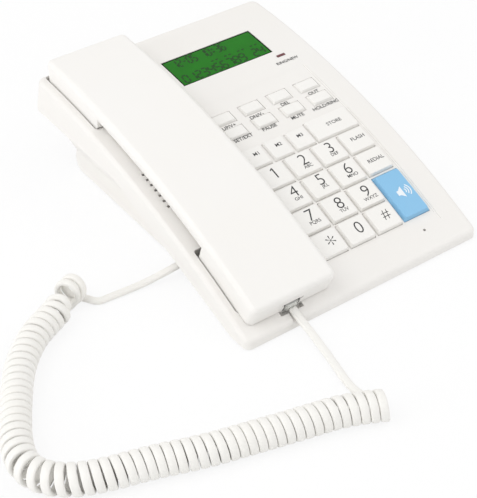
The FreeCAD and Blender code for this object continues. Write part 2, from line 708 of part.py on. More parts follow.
def make_base_cord_jack():
    """Handset jack in the left wall of the stand."""
    jack = make_modular_jack(12.0, 14.0, 8.4, 7.9, 6.0)
    jack.translate(Vector(ALCOVE[1] + 1.8, CORD_JACK_Y, FLOOR_Z + STAND_WALL))
    return jack


def make_line_jack():
    """Jack for the wall cord, looking out of the stand's rear wall."""
    jack = make_modular_jack(14.0, 15.0, 12.6, 9.8, 7.2)
    jack.rotate(Vector(0, 0, 0), Z_AXIS, -90)
    jack.translate(Vector(LINE_JACK_X, LINE_JACK_Y, FLOOR_Z + STAND_WALL))
    return jack


def make_feet():
    """Four round rubber feet, pressed into the floor's recesses."""
    feet = []
    for x, y in FEET:
        feet.append(upright(6.0, x, y, 0.0, 1.7))
    return Part.makeCompound(feet)


def make_base_screws():
    """Four screws from below, one in each boss."""
    screws = []
    for x, y in BASE_SCREWS:
        top = at(s_at_y(y), 0).z - 5.0
        screws.append(upright(2.7, x, y, 1.6, 3.4).fuse(upright(1.25, x, y, 3.4, min(top, 22.0))))
    return Part.makeCompound(screws)


# Handset

def radial(edge):
    """True for an edge that stands square to the curved top."""
    first, last = edge.Vertexes[0].Point, edge.Vertexes[-1].Point
    return in_side_view(edge) and abs(height_over_top(first) - height_over_top(last)) > 0.5


def near_s(point, s, h=None):
    """True for a point at an arc position, and at a height if one is given."""
    if h is None:
        h = height_over_top(point)
    return point.distanceToPoint(at(s, h, point.x)) < 0.3


def handset_in_plan(h1, h2):
    """The handset's plan with its rounded corners, as a solid between two heights."""
    block = sector(HANDSET_X1, HANDSET_X2, HANDSET_S1, HANDSET_S2, h1, h2)
    return block.makeFillet(HANDSET_CORNER, edges_where(block, lambda edge, m: radial(edge)))


def grip_belly(side, inset):
    """What the rounded belly of the grip takes from one lower edge, or from the hollow within its wall."""
    s1, s2, radius, beyond = GRIP_BELLY
    edge_x = HANDSET_X2 if side > 0 else HANDSET_X1
    centre_x = edge_x - side * (radius - beyond)
    centre_h = GRIP_UNDERSIDE + radius - beyond
    reach = radius - inset
    turn = math.sqrt(0.5)

    def point(across, up):
        return at(s1 - inset, centre_h + up, centre_x + side * across)

    start, middle, end = point(reach, 0), point(reach * turn, -reach * turn), point(0, -reach)
    below, outside, beside = point(0, -radius - 2), point(radius + 2, -radius - 2), point(radius + 2, 0)
    edges = [Part.Arc(start, middle, end).toShape()]
    for a, b in ((end, below), (below, outside), (outside, beside), (beside, start)):
        edges.append(Part.LineSegment(a, b).toShape())
    turned = math.degrees((s2 - s1 + 2 * inset) / (BODY_RADIUS + KEY_TOP_HEIGHT))
    axis_point = Vector(0, ARC_CENTRE_Y, ARC_CENTRE_Z)
    return Part.Face(Part.Wire(edges)).revolve(axis_point, X_AXIS, -turned)


def make_handset_top_shell():
    """Upper shell: flat across, bowed along, with a softly rounded rim and the sides of the grip's belly."""
    outer = handset_in_plan(HANDSET_PARTING, HANDSET_TOP)
    rim = edges_where(outer, lambda edge, m: height_over_top(m) > HANDSET_TOP - 0.3)
    outer = outer.makeFillet(HANDSET_RIM, rim)
    w = HANDSET_WALL
    hollow = sector(HANDSET_X1 + w, HANDSET_X2 - w, HANDSET_S1 + w, HANDSET_S2 - w, HANDSET_PARTING - 1,
                    HANDSET_TOP - w)
    outer = outer.cut([grip_belly(side, 0.0) for side in (-1, 1)])
    shell = outer.cut(hollow.cut([grip_belly(side, w) for side in (-1, 1)]))
    bosses = []
    for s in HANDSET_SCREWS:
        bosses.append(tilted(Part.makeCylinder(3.0, 7.4, Vector(0, 0, HANDSET_PARTING)), s, 0.0, HANDSET_X))
    shell = shell.fuse([boss.common(outer) for boss in bosses])
    pilots = []
    for s in HANDSET_SCREWS:
        pilot = Part.makeCylinder(1.1, 6.0, Vector(0, 0, HANDSET_PARTING - 1))
        pilots.append(tilted(pilot, s, 0.0, HANDSET_X))
    return shell.cut(pilots + [make_handset_jack_space()])


def make_handset_jack_space():
    """Room for the jack in the handset's front wall."""
    x1, x2, s1, s2, h1, h2 = HANDSET_JACK
    return sector(x1, x2, s1 - 3, s2, h1, h2)


def handset_underside(inset):
    """Side view of the lower shell as (s, h) points, walls moved inwards by inset."""
    mouth_s1, mouth_s2, mouth_h = MOUTH_CUP
    ear_s1, ear_s2, ear_h = EAR_CUP
    top = HANDSET_PARTING + (1.0 if inset else 0.0)
    grip = GRIP_UNDERSIDE + inset * 0.85
    lip = HANDSET_LIP + inset
    mouth_floor = mouth_h + inset
    ear_floor = ear_h + inset
    return ((HANDSET_S1 + inset, top), (HANDSET_S1 + inset, lip), (mouth_s1 + inset, lip),
            (mouth_s1 + inset, mouth_floor), (mouth_s2 - inset, mouth_floor), (mouth_s2 - inset, grip),
            (ear_s1 + inset, grip), (ear_s1 + inset, ear_floor), (ear_s2 - inset, ear_floor),
            (ear_s2 - inset, top))


def make_handset_bottom_shell():
    """Lower shell with the mouth and ear cups, their sound holes, the jack's shell and screw seats."""
    outer = curved_block(HANDSET_X1, HANDSET_X2, handset_underside(0.0))
    x1, x2, s1, s2, h1, h2 = HANDSET_JACK
    jack_shell = sector(x1, x2, s1, MOUTH_CUP[0] + 1, h1, 1.0)
    for s, h, radius in UNDERSIDE_ROUNDING:
        corner = edges_where(outer, lambda edge, m: along_x(edge) and near_s(m, s, h))
        outer = outer.makeFillet(radius, corner)
    outer = outer.common(handset_in_plan(-12.0, HANDSET_PARTING + 1.0))
    outer = outer.cut([grip_belly(side, 0.0) for side in (-1, 1)])
    w = HANDSET_WALL
    hollow = curved_block(HANDSET_X1 + w, HANDSET_X2 - w, handset_underside(w))
    shell = outer.cut(hollow).fuse(jack_shell)
    posts = []
    for s in HANDSET_SCREWS:
        posts.append(tilted(Part.makeCylinder(3.6, 2.0, Vector(0, 0, GRIP_UNDERSIDE)), s, 0.0, HANDSET_X))
    shell = shell.fuse(posts)
    cuts = []
    for s in HANDSET_SCREWS:
        cuts.append(tilted(Part.makeCylinder(2.6, 2.0, Vector(0, 0, GRIP_UNDERSIDE - 1)), s, 0.0, HANDSET_X))
        cuts.append(tilted(Part.makeCylinder(1.5, 6.0, Vector(0, 0, GRIP_UNDERSIDE - 1)), s, 0.0, HANDSET_X))
    for i in range(7):
        angle = math.radians(60 * i)
        reach = 5.0 if i else 0.0
        low = Vector(reach * math.cos(angle), reach * math.sin(angle), EAR_CUP[2] - 3)
        cuts.append(tilted(Part.makeCylinder(1.0, 8.0, low), RECEIVER_S, 0.0, HANDSET_X))
    for i in (-1, 0, 1):
        hole = Part.makeCylinder(0.8, 8.0, Vector(3.0 * i, 0, MOUTH_CUP[2] - 3))
        cuts.append(tilted(hole, MICROPHONE_S, 0.0, HANDSET_X))
    cuts.append(sector(x1 + 1.4, x2 - 1.4, s1 - 3, s2 + 0.3, h1 + 1.2, h2 + 3))
    return shell.cut(cuts)


def make_receiver():
    """Receiver capsule on the ear cup's floor."""
    cup = Part.makeCylinder(16.0, 5.0, Vector(0, 0, EAR_CUP[2] + HANDSET_WALL + 0.4))
    magnet = Part.makeCylinder(8.0, 3.0, Vector(0, 0, EAR_CUP[2] + HANDSET_WALL + 5.4))
    return tilted(cup.fuse(magnet), RECEIVER_S, 0.0, HANDSET_X)


def make_handset_microphone():
    """Microphone capsule in its rubber boot on the mouth cup's floor."""
    capsule = Part.makeCylinder(5.0, 5.0, Vector(0, 0, MOUTH_CUP[2] + HANDSET_WALL + 0.1))
    return tilted(capsule, MICROPHONE_S, 0.0, HANDSET_X)


def make_handset_weight():
    """Steel bar that gives the handset its weight, on the grip's floor."""
    bar = Part.makeBox(24.0, 46.0, 5.0, Vector(-12, -23, HANDSET_PARTING + 0.2))
    return tilted(bar, WEIGHT_S, 0.0, HANDSET_X)


def make_handset_jack():
    """Jack in the handset's front end."""
    x1, x2, s1, s2, h1, h2 = HANDSET_JACK
    jack = make_modular_jack(x2 - x1 - 3.0, 13.6, 7.6, 7.8, 5.8)
    jack.rotate(Vector(0, 0, 0), Z_AXIS, 90)
    return tilted(jack, s1 + 0.6, h1 + 1.3, (x1 + x2) / 2)


def make_handset_screws():
    """Two screws in the grip's underside."""
    screws = []
    for s in HANDSET_SCREWS:
        head = Part.makeCylinder(2.4, 0.9, Vector(0, 0, GRIP_UNDERSIDE + 0.1))
        shank = Part.makeCylinder(1.05, 5.7, Vector(0, 0, GRIP_UNDERSIDE + 1.0))
        screws.append(tilted(head.fuse(shank), s, 0.0, HANDSET_X))
    return Part.makeCompound(screws)


# Cord

def rounded_route(points, closeness=0.45):
    """Straight runs joined by tangent arcs, each as large as its two runs allow. Returns edges and radii."""
    edges = []
    radii = []
    start = points[0]
    for before, corner, after in zip(points, points[1:], points[2:]):
        way_in = corner - before
        way_out = after - corner
        shorter = min(way_in.Length, way_out.Length)
        turn = way_in.getAngle(way_out)
        trim = closeness * shorter
        radius = trim / math.tan(turn / 2)
        way_in.normalize()
        way_out.normalize()
        begin = corner - way_in * trim
        end = corner + way_out * trim
        bisector = (way_out - way_in).normalize()
        centre = corner + bisector * math.hypot(radius, trim)
        middle = centre - bisector * radius
        edges.append(Part.LineSegment(start, begin).toShape())
        edges.append(Part.Arc(begin, middle, end).toShape())
        radii.append(radius)
        start = end
    edges.append(Part.LineSegment(start, points[-1]).toShape())
    return edges, radii


def wire_ring(point, heading):
    """Outline of the cable's section, square to its heading, with a flat side down."""
    across = heading.cross(Z_AXIS).normalize()
    up = across.cross(heading).normalize()
    corners = []
    for i in range(WIRE_SIDES):
        angle = 2 * math.pi * (i + 0.5) / WIRE_SIDES - math.pi / 2
        corners.append(point + (up * math.sin(angle) + across * math.cos(angle)) * (WIRE_DIAMETER / 2))
    return Part.makePolygon(corners + corners[:1])


def sweep_wire(edges, heading, label):
    """Cable along a path of lines and arcs, with its length and volume printed."""
    path = Part.Wire(edges)
    tube = path.makePipeShell([wire_ring(edges[0].Vertexes[0].Point, heading)], True, False)
    section = WIRE_SIDES / 2 * (WIRE_DIAMETER / 2) ** 2 * math.sin(2 * math.pi / WIRE_SIDES)
    print(label, "length", round(path.Length, 1), "volume against section times length",
          round(tube.Volume / (section * path.Length), 4), "valid", tube.isValid(), "lowest",
          round(tube.BoundBox.ZMin, 2))
    return tube


def make_lead(points, label):
    """Straight stretch of cable along a route, with its radii printed."""
    edges, radii = rounded_route(points)
    print(label, "radii", [round(r, 1) for r in radii])
    return sweep_wire(edges, points[1] - points[0], label)


def route_place(places, u):
    """Point and heading on a rounded route at the length u."""
    for start, edge in places:
        if u <= start + edge.Length:
            break
    parameter = edge.getParameterByLength(min(max(u - start, 0.0), edge.Length))
    tangent = edge.tangentAt(parameter)
    return edge.valueAt(parameter), math.atan2(tangent.y, tangent.x)


def coil_axes(places, u):
    """Centre of the coil at u, and the three directions of its turn there: ahead, up and sideways."""
    centre, heading = route_place(places, u)
    left = max(0.0, 1 - u / FIRST_RING_LENGTH)
    ease = left * left * (3 - 2 * left)
    heading += math.radians(FIRST_RING_TURN) * ease
    tilt = math.radians(FIRST_RING_TILT) * ease
    ahead = Vector(math.cos(heading) * math.cos(tilt), math.sin(heading) * math.cos(tilt), math.sin(tilt))
    sideways = ahead.cross(Z_AXIS).normalize()
    return centre + Z_AXIS * (FIRST_RING_LIFT * ease), ahead, sideways.cross(ahead), sideways


def coil_track():
    """Points of the helix along the coil's route, evenly spaced in angle, and the route's radii."""
    edges, radii = rounded_route([Vector(x, y, COIL_HEIGHT) for x, y in COIL_ROUTE])
    places = []
    total = 0.0
    for edge in edges:
        places.append((total, edge))
        total += edge.Length
    track = []
    u = 0.0
    phase = math.pi
    while u < total:
        centre, ahead, up, sideways = coil_axes(places, u)
        out = up * math.cos(phase) + sideways * math.sin(phase)
        track.append(centre + out * COIL_RADIUS)
        swing = coil_axes(places, u + 1.0)[1].getAngle(coil_axes(places, max(u - 1.0, 0.0))[1]) / 2.0
        u += COIL_PITCH * (1 + COIL_BEND_SPREAD * min(swing, 0.16)) / (2 * HALF_TURN_STEPS)
        phase += math.pi / HALF_TURN_STEPS
    whole_turns = (len(track) - 1) // (2 * HALF_TURN_STEPS)
    return track[:whole_turns * 2 * HALF_TURN_STEPS + 1], radii


def biarc(p0, t0, p1, t1):
    """Two arcs that join p0 to p1 with the tangents given."""
    v = p1 - p0
    t = t0 + t1
    k = 2 * (1 - t0.dot(t1))
    d = (-v.dot(t) + math.sqrt(v.dot(t) ** 2 + k * v.dot(v))) / k
    q0 = p0 + t0 * d
    q1 = p1 - t1 * d
    join = (q0 + q1) * 0.5
    edges = []
    for a, corner, b in ((p0, q0, join), (join, q1, p1)):
        chord_middle = (a + b) * 0.5
        half_turn = math.acos((b - a).Length / 2 / (corner - a).Length)
        apex = chord_middle + (corner - chord_middle) * (math.tan(half_turn / 2) / math.tan(half_turn))
        edges.append(Part.Arc(a, apex, b).toShape())
    return edges


def least_gap(track):
    """Least distance between turns, less the wire's width."""
    least = 1e9
    for i in range(0, len(track), 2):
        for j in range(i + HALF_TURN_STEPS, min(i + 8 * HALF_TURN_STEPS, len(track))):
            least = min(least, track[i].distanceToPoint(track[j]))
    return least - WIRE_DIAMETER


def make_coil():
    """Curly part of the cord: one unbroken helix tube along its route, with straight ends.

    Returns the solid, and the point and way out of each end.
    """
    track, radii = coil_track()
    knots = track[::HALF_TURN_STEPS]
    tangents = []
    for i in range(0, len(track), HALF_TURN_STEPS):
        tangents.append((track[min(i + 1, len(track) - 1)] - track[max(i - 1, 0)]).normalize())
    for end in (0, -1):
        tangents[end].z = 0
        tangents[end].normalize()
    start = knots[0] - tangents[0] * WIRE_DIAMETER
    finish = knots[-1] + tangents[-1] * WIRE_DIAMETER
    edges = [Part.LineSegment(start, knots[0]).toShape()]
    for i in range(len(knots) - 1):
        edges += biarc(knots[i], tangents[i], knots[i + 1], tangents[i + 1])
    edges.append(Part.LineSegment(knots[-1], finish).toShape())
    coil = sweep_wire(edges, tangents[0], "coil")
    print("coil turns", (len(knots) - 1) / 2, "least gap", round(least_gap(track), 2), "route radii",
          [round(r, 1) for r in radii])
    return coil, (start, tangents[0] * -1), (finish, tangents[-1])


def make_plug():
    """Small modular plug round the origin: its cable end at x=0, its nose towards +X, its latch below."""
    body = Part.makeBox(9.0, 7.6, 4.4, Vector(1.0, -3.8, -1.6))
    tail = Part.makeBox(2.0, 5.6, 3.4, Vector(0.0, -2.8, -1.5))
    latch = Part.makeBox(7.0, 3.0, 0.6, Vector(2.0, -1.5, -2.2))
    return body.fuse([tail, latch])


def make_base_plug():
    """Plug in the stand's jack, its cable leaving along -X."""
    plug = make_plug()
    plug.translate(BASE_PLUG)
    return plug


def handset_plug_place():
    """Where the cable leaves the handset's plug, and its way out."""
    angle = math.radians(slope(HANDSET_PLUG_S))
    return at(HANDSET_PLUG_S, HANDSET_PLUG_H, HANDSET_PLUG_X), Vector(0, -math.cos(angle), -math.sin(angle))


def make_handset_plug():
    """Plug in the handset's front end, its cable leaving down the slope of the base."""
    plug = make_plug()
    plug.rotate(Vector(0, 0, 0), Z_AXIS, 90)
    return tilted(plug, HANDSET_PLUG_S, HANDSET_PLUG_H, HANDSET_PLUG_X)


def make_leads(coil_start, coil_finish):
    """The two straight stretches of the cord."""
    point, way = coil_start
    base_points = [BASE_PLUG] + [Vector(*p) for p in BASE_LEAD] + [point + way * 6.8, point]
    base_lead = make_lead(base_points, "base lead")
    plug_end, plug_way = handset_plug_place()
    point, way = coil_finish
    handset_points = [plug_end + plug_way * LEAD_GAP, plug_end + plug_way * 6.5]
    handset_points += [Vector(*p) for p in HANDSET_LEAD] + [point + way * 6.6, point]
    return base_lead, make_lead(handset_points, "handset lead")


def main():
    coil, coil_start, coil_finish = make_coil()
    save("curly_cord", coil)
    base_lead, handset_lead = make_leads(coil_start, coil_finish)
    save("cord_lead_base", base_lead)
    save("cord_lead_handset", handset_lead)
    save("base_plug", make_base_plug())
    save("handset_plug", make_handset_plug())
    for name, left, front, width, depth in all_keys():
        save(name, make_key(name, left, front, width, depth))
    save("base_top_shell", make_top_shell())
    save("base_bottom_shell", make_bottom_shell())
    save("hook_plunger", make_hook_plunger())
    save("hook_switch", make_hook_switch())
    save("keypad_membrane", make_membrane())
    save("keypad_board", make_keypad_board())
    save("main_board", make_main_board())
    save("display_window", make_display_window())
    save("display_module", make_display_module())
    save("indicator_lens", make_indicator_lens())
    save("loudspeaker", make_loudspeaker())
    save("base_microphone", make_base_microphone())
    save("base_cord_jack", make_base_cord_jack())
    save("line_jack", make_line_jack())
    save("rubber_feet", make_feet())
    save("base_screws", make_base_screws())
    save("handset_top_shell", make_handset_top_shell())
    save("handset_bottom_shell", make_handset_bottom_shell())
    save("receiver", make_receiver())
    save("handset_microphone", make_handset_microphone())
    save("handset_weight", make_handset_weight())
    save("handset_jack", make_handset_jack())
    save("handset_screws", make_handset_screws())


main()
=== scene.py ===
"""Corded landline phone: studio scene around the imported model.

Lengths in this file are millimetres in the model's own frame and angles are degrees, unless a comment says
otherwise. Lengths are turned into metres when a mesh is made. Much of the phone is laid out along its curved top:
s is the way along the key tops' arc from the front edge, and h is the height above the body's surface.
"""

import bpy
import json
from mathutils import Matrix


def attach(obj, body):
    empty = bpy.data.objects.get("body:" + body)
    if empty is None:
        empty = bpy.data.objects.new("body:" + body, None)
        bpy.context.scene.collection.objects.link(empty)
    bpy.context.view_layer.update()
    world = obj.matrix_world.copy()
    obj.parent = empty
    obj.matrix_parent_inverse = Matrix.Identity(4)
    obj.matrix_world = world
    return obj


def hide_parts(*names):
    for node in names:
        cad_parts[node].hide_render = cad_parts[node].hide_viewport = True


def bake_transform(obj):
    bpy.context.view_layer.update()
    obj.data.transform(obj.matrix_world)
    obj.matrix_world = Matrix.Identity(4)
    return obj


bl_info = {
    "name": "Corded landline phone",
    "version": (1, 0, 0),
    "blender": (4, 5, 0),
    "location": "View3D > Sidebar > Phone",
    "description": "Finishes the phone's shells, keys, display, handset and curly cord, and sets its studio stage",
    "category": "Object",
}

import json
import math

import bmesh
import bpy
import numpy as np
from bpy.props import FloatProperty, FloatVectorProperty, PointerProperty
from mathutils import Matrix

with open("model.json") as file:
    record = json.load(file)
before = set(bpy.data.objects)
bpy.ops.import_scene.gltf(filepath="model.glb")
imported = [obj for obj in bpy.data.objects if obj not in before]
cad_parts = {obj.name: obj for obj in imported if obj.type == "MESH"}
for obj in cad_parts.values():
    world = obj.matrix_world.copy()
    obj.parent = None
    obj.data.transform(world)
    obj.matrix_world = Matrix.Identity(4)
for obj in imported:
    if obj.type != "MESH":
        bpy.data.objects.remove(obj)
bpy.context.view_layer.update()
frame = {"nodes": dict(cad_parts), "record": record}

MM = 0.001

# Camera of the photograph: place, directions, focal length in picture points, and how near and far it sees in metres
PICTURE_WIDTH = 477
PICTURE_HEIGHT = 498
CAMERA_PLACE = (-332.129, -491.627, 438.495)
CAMERA_AZIMUTH = -33.353
CAMERA_ELEVATION = 38.771
CAMERA_ROLL = -2.5
FOCAL_POINTS = 1311.985
SENSOR_WIDTH = 36.0
CAMERA_CLIP = (0.02, 20.0)

# Stage: a floor that turns up into a backdrop, how white it looks to the camera and in mirror light, and the lamps,
# each with its place, its size in metres and the setting that holds its power
FLOOR_FRONT = -2600.0
FLOOR_BACK = 1400.0
FLOOR_HALF_WIDTH = 3000.0
BACKDROP_RADIUS = 600.0
BACKDROP_TOP = 2600.0
FLOOR_WHITE_SEEN = 0.85
FLOOR_WHITE_MIRRORED = 0.3
LAMPS = (
    ("top_lamp", (-900.0, 100.0, 1300.0), 1.1, "top_power"),
    ("right_lamp", (900.0, -700.0, 1100.0), 1.0, "right_power"),
    ("front_lamp", (-500.0, -1400.0, 350.0), 1.0, "front_power"),
    ("left_lamp", (-1400.0, 100.0, 450.0), 0.5, "left_power"),
)

# Edges that bend more than this stay sharp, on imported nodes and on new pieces. Points nearer than this are one point,
# on nodes in metres and in print in millimetres
NODE_SHARP_ANGLE = 24.0
PIECE_SHARP_ANGLE = 40.0
NODE_WELD = 0.000002
PRINT_WELD = 0.0005

# The body's arc, the key tops' arc over it, and the deck, which is the body's arc tilted about its front edge
BODY_RADIUS = 498.0
KEY_TOP_RADIUS = 500.0
FRONT_SLOPE = 25.9
ARC_CENTRE = (113.9, -441.8)
DECK_TILT = 0.57
PANEL_DEPTH = 0.5

# Keys: left edge, front edge, width and depth of each, with its legend and the legend's middle
NUMBER_COLUMNS = (-12.7, 5.4, 23.5, 41.6)
NUMBER_ROWS = (69.4, 53.2, 37.0, 20.8)
NUMBER_SIZE = (14.5, 13.0)
NUMBER_LEGENDS = (
    (("key_1", "1", "", (-4.9, 77.4)), ("key_2", "2", "ABC", (14.0, 78.0)), ("key_3", "3", "DEF", (32.0, 78.3))),
    (("key_4", "4", "GHI", (-3.4, 62.6)), ("key_5", "5", "JKL", (14.2, 62.6)), ("key_6", "6", "MNO", (32.1, 62.0))),
    (("key_7", "7", "PQRS", (-4.3, 46.0)), ("key_8", "8", "TUV", (14.2, 45.4)),
     ("key_9", "9", "WXYZ", (31.9, 45.3))),
    (("key_star", "*", "", (-3.7, 28.2)), ("key_0", "0", "", (14.6, 28.1)), ("key_hash", "#", "", (32.7, 28.0))),
)
WORD_KEYS = (
    ("key_flash", 41.6, 69.4, 14.5, 13.0, "FLASH", (50.5, 77.1)),
    ("key_redial", 41.6, 53.2, 14.5, 13.0, "REDIAL", (50.3, 60.2)),
    ("key_m1", -12.7, 85.6, 10.8, 11.6, "M1", (-6.1, 93.2)), ("key_m2", 2.0, 85.6, 10.8, 11.6, "M2", (8.6, 93.2)),
    ("key_m3", 16.7, 85.6, 10.8, 11.6, "M3", (22.9, 93.2)),
    ("key_store", 30.9, 85.6, 26.1, 13.2, "STORE", (45.8, 92.7)),
)
SPEAKER_KEY = ("key_speaker", 41.6, 21.2, 15.4, 28.6)
BAR_ROWS = (
    (-12.3, 121.0, ("key_up", "key_down", "key_delete", "key_out")),
    (-11.8, 109.2, ("key_set", "key_pause", "key_mute", "key_hold")),
)
BAR_SIZE = (11.6, 6.5)
BAR_PITCH = 19.0

# A key's section: its top over the body, how far foot and flange stand out, the rounding of its edge, which starts at
# the side's lean in radians, the shell's wall, and the gaps under the shell and under the panel
KEY_TOP_HEIGHT = 2.0
KEY_FLARE = 0.8
KEY_FLANGE = 0.55
FLANGE_THICKNESS = 0.9
EDGE_ROUND = 0.4
EDGE_RINGS = 6
SIDE_LEAN = 0.25
WALL = 2.4
SHELL_GAP = 0.2
PANEL_GAP = 0.1

# How far a cap's top reaches past its size, on its left and front, and on its right and rear, and for two other sizes
TOP_GROWTH = (0.35, 0.75)
OTHER_GROWTH = {BAR_SIZE: (0.2, 0.0), SPEAKER_KEY[3:]: (0.0, 0.0)}
TOP_CORNER = 1.3
FOOT_CORNER = 0.4

# Print: where a number key's letters and the flag of the digit one stand from the digit, sizes, how much thinner or
# thicker strokes are for each unit of size, and the print's thickness and height over a key and over the deck
LETTERS_OFFSET = (0.1, -4.9)
ONE_FLAG = ((-0.2, 3.75), (-1.75, 2.45), (-1.35, 2.0), (-0.2, 2.95))
DIGIT_SIZE = 10.4
STAR_SIZE = 14.0
HASH_SIZE = 8.6
LETTERS_SIZE = 2.9
WORD_SIZE = 3.3
LAMP_WORD_SIZE = 3.0
DIGIT_THINNING = 0.012
WORD_THICKENING = 0.003
PRINT_THICKNESS = 0.05
PRINT_LIFT = 0.03
DECK_PRINT_LIFT = 0.12

# Printed captions: text, and the middle of each in x and along the arc
CAPTIONS = (
    ("UP/V+", -6.6, 118.1), ("DN/V-", 11.7, 117.9), ("DEL", 31.2, 118.2), ("OUT", 50.7, 117.9),
    ("SET/EXT", -4.5, 107.3), ("PAUSE", 12.7, 107.1), ("MUTE", 31.5, 106.7), ("HOLD/RING", 50.8, 106.4),
)
LAMP_CAPTION = ("RING/NEW", 53.8, 147.2)

# Loudspeaker symbol: its place, its cone, and the radii, half thickness, spread each way and middle of its arcs
SYMBOL_PLACE = (51.0, 35.6)
SYMBOL_CONE = ((-4.3, -1.5), (-3.0, -1.5), (-0.6, -3.6), (-0.6, 3.6), (-3.0, 1.5), (-4.3, 1.5))
SYMBOL_ARCS = (1.5, 2.9, 4.3)
SYMBOL_ARC_HALF = 0.3
SYMBOL_ARC_SPREAD = 50.0
SYMBOL_ARC_MIDDLE = (-0.2, 0.0)

# Display: the window's left, right, front and rear, the gap round its pane, the pane's face and back over the deck,
# its grid, the width of the painted shade along its border, and rows of segment characters as text, left, bottom,
# pitch, width and height
WINDOW = (-9.6, 51.3, 158.0, 182.9)
WINDOW_GAP = 0.1
WINDOW_FACE = -0.3
WINDOW_BACK = -1.8
PANE_LINES = 9
PANE_STEPS = 17
PAINTED_SHADE_WIDTH = 0.85
SEGMENT_ROWS = (
    ("12-05 10:36", -4.6, 174.4, 3.25, 2.4, 6.8),
    ("-- -- -- --", 15.6, 168.2, 3.0, 2.4, 2.4),
    ("0123456789 24", -6.6, 159.9, 4.3, 3.1, 6.6),
)
SEGMENT_STROKE = 1.0
SEGMENT_GAP = 0.35
SEGMENT_LEAN = 0.07
COLON_DOT_SIZE = 1.3

# Cord: the route of the part's source, with its first rings and its leads moved a few millimetres to follow the
# photograph. The first rings are turned and tilted against the rest, stay so for the length of the hold, and come
# into line over their length.
WIRE_WIDTH = 4.2
WIRE_THICKNESS = 2.6
TUBE_SIDES = 14
TUBE_SQUARENESS = 3.2
TUBE_UV_SCALE = 0.01
COIL_RADIUS = 6.4
COIL_HEIGHT = 7.8
COIL_PITCH = 4.35
COIL_BEND_SPREAD = 7.4
COIL_MOST_SWING = 0.16
COIL_STEPS = 32
AXIS_STEP = 0.05
LEAD_STEP = 0.8
FIRST_RING_TURN = -168.0
FIRST_RING_TILT = -11.0
FIRST_RING_HOLD = 7.4
FIRST_RING_LENGTH = 10.0
FIRST_RING_LIFT = 1.4
COIL_ROUTE = ((-121.0, -19.3), (-130.0, -23.0), (-138.0, -29.6), (-147.0, -33.8), (-158.0, -40.0), (-173.0, -55.5),
              (-186.5, -78.5), (-196.5, -98.0), (-199.5, -114.0), (-191.0, -128.0), (-174.5, -136.5),
              (-153.0, -142.5), (-131.5, -151.0), (-107.5, -157.5), (-85.5, -163.5), (-63.0, -169.0),
              (-49.0, -177.0))
BASE_LEAD = ((-64.5, -34.5, 6.8), (-70.0, -34.5, 6.8), (-78.0, -33.4, 4.8), (-88.0, -31.6, 2.4),
             (-98.0, -30.4, 1.7), (-108.0, -29.6, 1.7), (-115.0, -29.2, 1.7))
HANDSET_LEAD = ((-48.6, -165.5, 1.7), (-50.4, -156.5, 1.7), (-49.3, -148.0, 1.7), (-46.2, -134.0, 1.7),
                (-43.8, -120.0, 2.2), (-43.2, -112.0, 4.0))
LEAD_END_RUN = 4.5
HANDSET_PLUG_S = 5.2
HANDSET_PLUG_H = 1.4
HANDSET_PLUG_X = -44.0
HANDSET_PLUG_RUN = 6.5
HANDSET_PLUG_GAP = 0.3


# Shapes


def key_arc(s, h, x):
    """Points at h over the body's arc: y = cy - (R + h) sin a, z = cz + (R + h) cos a, where a is the slope at s."""
    s, h, x = np.broadcast_arrays(s, h, x)
    angle = math.radians(FRONT_SLOPE) - s / KEY_TOP_RADIUS
    reach = BODY_RADIUS + h
    return np.stack((x, ARC_CENTRE[0] - reach * np.sin(angle), ARC_CENTRE[1] + reach * np.cos(angle)), axis=-1)


def turn_about_x(angle):
    """Turning matrix about X."""
    return np.array(((1, 0, 0), (0, math.cos(angle), -math.sin(angle)), (0, math.sin(angle), math.cos(angle))))


def deck(s, h, x):
    """Points at h over the deck: the body's arc turned by the deck's tilt about its front edge."""
    pivot = key_arc(0.0, 0.0, 0.0)
    return (key_arc(s, h, x) - pivot) @ turn_about_x(math.radians(DECK_TILT)).T + pivot


def deck_rise(s):
    """How far the deck stands above the body's arc at s."""
    return math.radians(DECK_TILT) * s


def tangent_plane(local, s, x=0.0):
    """Puts points made round the origin on the plane that touches the body's arc at s: a turn by its slope."""
    angle = math.radians(FRONT_SLOPE) - s / KEY_TOP_RADIUS
    return local @ turn_about_x(angle).T + key_arc(s, 0.0, x)


def grid_faces(rows, columns, close_columns=False):
    """Quads of a grid whose point (i, j) has the number i * columns + j. Closed columns join last to first."""
    low = np.arange(rows - 1)[:, None] * columns
    high = low + columns
    j = np.arange(columns if close_columns else columns - 1)[None, :]
    j2 = (j + 1) % columns
    return np.stack(np.broadcast_arrays(low + j, low + j2, high + j2, high + j), -1).reshape(-1, 4)


def add_piece(name, points, faces, material, smooth=True, uv=None):
    """Object from millimetre points and face index rows. uv holds one pair for each point."""
    mesh = bpy.data.meshes.new(name)
    mesh.from_pydata((np.asarray(points, float).reshape(-1, 3) * MM).tolist(), [], [list(f) for f in faces])
    if uv is not None:
        corners = np.zeros(len(mesh.loops), np.int32)
        mesh.loops.foreach_get("vertex_index", corners)
        layer = mesh.uv_layers.new(name="UVMap")
        layer.data.foreach_set("uv", np.asarray(uv, np.float32).reshape(-1, 2)[corners].ravel())
    mesh.polygons.foreach_set("use_smooth", np.full(len(mesh.polygons), smooth))
    mesh.materials.append(material)
    mesh.validate()
    piece = bpy.data.objects.new(name, mesh)
    bpy.context.scene.collection.objects.link(piece)
    return piece


